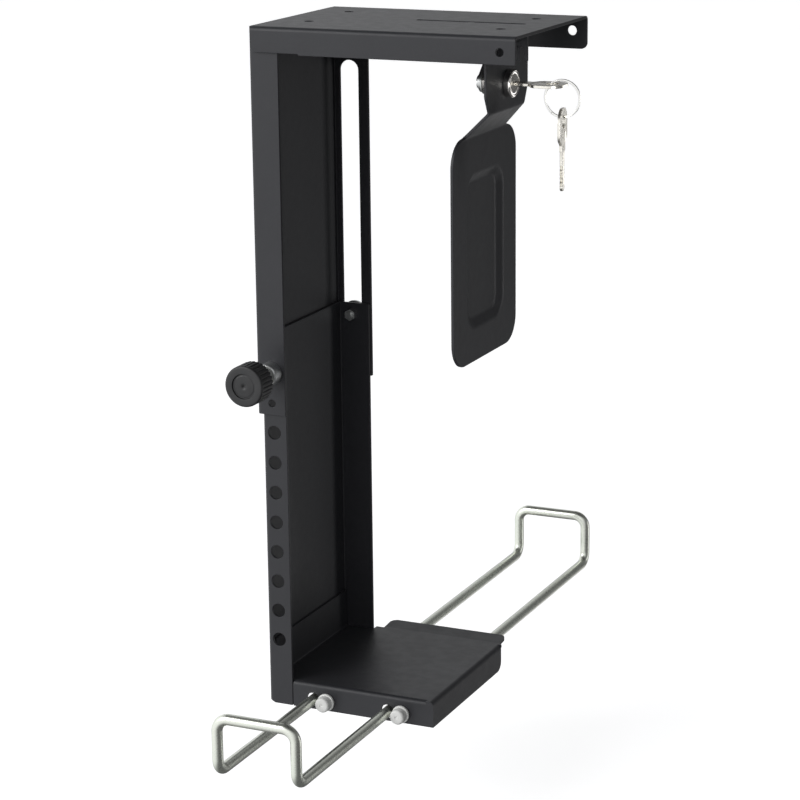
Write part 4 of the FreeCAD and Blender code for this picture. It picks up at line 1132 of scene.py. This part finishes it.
def make_floor():
    """Pale, faintly mottled floor a little under the holder, clear when seen from below."""
    gap, reach, glow = mm(70), 14.0, 0.70
    z = cad_low.z - gap
    mesh = bpy.data.meshes.new("floor")
    corners = [(-reach, -reach, z), (reach, -reach, z), (reach, reach, z), (-reach, reach, z)]
    mesh.from_pydata(corners, [], [(0, 1, 2, 3)])
    floor = bpy.data.objects.new("floor", mesh)
    bpy.context.scene.collection.objects.link(floor)
    m = Shade("pale_floor")
    place = m.add("TexCoord").outputs["Object"]
    tone = m.mix(m.noise(place, 3, 3), (0.78, 0.78, 0.79, 1), (0.82, 0.82, 0.83, 1))
    m.set(Base_Color=tone, Roughness=0.9, Emission_Color=(1, 1, 1, 1), Emission_Strength=glow)
    coat(floor, m.material)
    floor.visible_glossy = False
    floor.visible_diffuse = False
    floor.visible_shadow = False
    under = m.add("NewGeometry").outputs["Backfacing"]
    clear = m.add("BsdfTransparent").outputs[0]
    choose = m.add("MixShader")
    m.join(choose.inputs[0], under)
    m.join(choose.inputs[1], m.surface.outputs[0])
    m.join(choose.inputs[2], clear)
    m.join(m.tree.nodes["Material Output"].inputs["Surface"], choose.outputs[0])


def soft_light(name, place, aim, size, power):
    """Rectangular lamp at a place in metres, turned to its aim, with its power in watts."""
    lamp = bpy.data.lights.new(name, "AREA")
    lamp.shape = "RECTANGLE"
    lamp.size, lamp.size_y = size
    lamp.energy = power
    light = bpy.data.objects.new(name, lamp)
    bpy.context.scene.collection.objects.link(light)
    light.location = place
    light.rotation_euler = (Vector(aim) - Vector(place)).to_track_quat("-Z", "Y").to_euler()
    return light


BRIGHT_SIDE = (-0.72, -0.42, 0.55)
SHINY = ("lock_nickel", "key_nickel", "ring_steel")


def make_surroundings():
    """White for the camera; as light, soft and bright from the front left, dim behind and overhead."""
    world = bpy.data.worlds.new("studio")
    bpy.context.scene.world = world
    world.use_nodes = True
    tree = world.node_tree
    links = tree.links

    def fade(value, low, high, to_low, to_high):
        node = tree.nodes.new("ShaderNodeMapRange")
        node.interpolation_type = "SMOOTHSTEP"
        for key, number in (("From Min", low), ("From Max", high), ("To Min", to_low), ("To Max", to_high)):
            node.inputs[key].default_value = number
        links.new(value, node.inputs["Value"])
        return node.outputs["Result"]

    direction = tree.nodes.new("ShaderNodeTexCoord").outputs["Generated"]
    facing = tree.nodes.new("ShaderNodeVectorMath")
    facing.operation = "DOT_PRODUCT"
    facing.inputs[1].default_value = BRIGHT_SIDE
    links.new(direction, facing.inputs[0])
    split = tree.nodes.new("ShaderNodeSeparateXYZ")
    links.new(direction, split.inputs[0])
    strength = tree.nodes.new("ShaderNodeMath")
    strength.operation = "MULTIPLY"
    links.new(fade(facing.outputs["Value"], -0.45, 0.55, 0.13, 1.1), strength.inputs[0])
    links.new(fade(split.outputs["Z"], 0.5, 0.85, 1.0, 0.06), strength.inputs[1])
    lit = tree.nodes["Background"]
    lit.inputs["Color"].default_value = (0.975, 0.985, 1.0, 1)
    links.new(strength.outputs[0], lit.inputs["Strength"])
    white = tree.nodes.new("ShaderNodeBackground")
    white.inputs["Color"].default_value = (1, 1, 1, 1)
    choose = tree.nodes.new("ShaderNodeMixShader")
    links.new(tree.nodes.new("ShaderNodeLightPath").outputs["Is Camera Ray"], choose.inputs[0])
    links.new(lit.outputs[0], choose.inputs[1])
    links.new(white.outputs[0], choose.inputs[2])
    links.new(choose.outputs[0], tree.nodes["World Output"].inputs["Surface"])


def make_lights():
    """Soft lights for the whole holder, and two that only the shiny pieces catch."""
    middle_of_holder, under_plate, lock = (0, 0, -0.2), (0, 0, -0.1), (0.08, 0, -0.06)
    soft_light("key_light", (-1.5, -1.7, 0.9), middle_of_holder, (1.4, 1.6), 26)
    soft_light("side_light", (1.75, 1.25, -0.6), middle_of_holder, (0.45, 1.6), 6)
    soft_light("low_light", (0.0, 1.45, -1.0), under_plate, (0.8, 0.6), 1.0)
    glints = [
        soft_light("rear_glint", (0.75, 1.3, -0.35), lock, (0.9, 1.2), 6),
        soft_light("front_glint", (1.1, -1.2, -0.3), lock, (0.5, 0.9), 9),
    ]
    shiny = bpy.data.collections.new("shiny_pieces")
    for piece in bpy.data.objects:
        if piece.type == "MESH" and any(m and m.name in SHINY for m in piece.data.materials):
            shiny.objects.link(piece)
    for glint in glints:
        glint.light_linking.receiver_collection = shiny


def make_camera():
    """Eye level a little above the plate, from the front and the lock's side."""
    azimuth, elevation, roll = math.radians(24.619), math.radians(14.742), math.radians(-0.634)
    place, focal, sensor = (0.65204, -1.45973, 0.17727), 115.35, 36
    back = Vector((
        math.sin(azimuth) * math.cos(elevation),
        -math.cos(azimuth) * math.cos(elevation),
        math.sin(elevation),
    ))
    right = Vector((math.cos(azimuth), math.sin(azimuth), 0))
    up = back.cross(right)
    rolled_right = right * math.cos(roll) + up * math.sin(roll)
    rolled_up = up * math.cos(roll) - right * math.sin(roll)
    lens = bpy.data.cameras.new("camera")
    lens.sensor_width = sensor
    lens.lens = focal
    camera = bpy.data.objects.new("camera", lens)
    bpy.context.scene.collection.objects.link(camera)
    turn = Matrix((rolled_right, rolled_up, back)).transposed().to_4x4()
    camera.matrix_world = Matrix.Translation(place) @ turn
    bpy.context.scene.camera = camera


make_floor()
make_surroundings()
make_lights()
make_camera()
bpy.context.scene.view_settings.view_transform = "Standard"
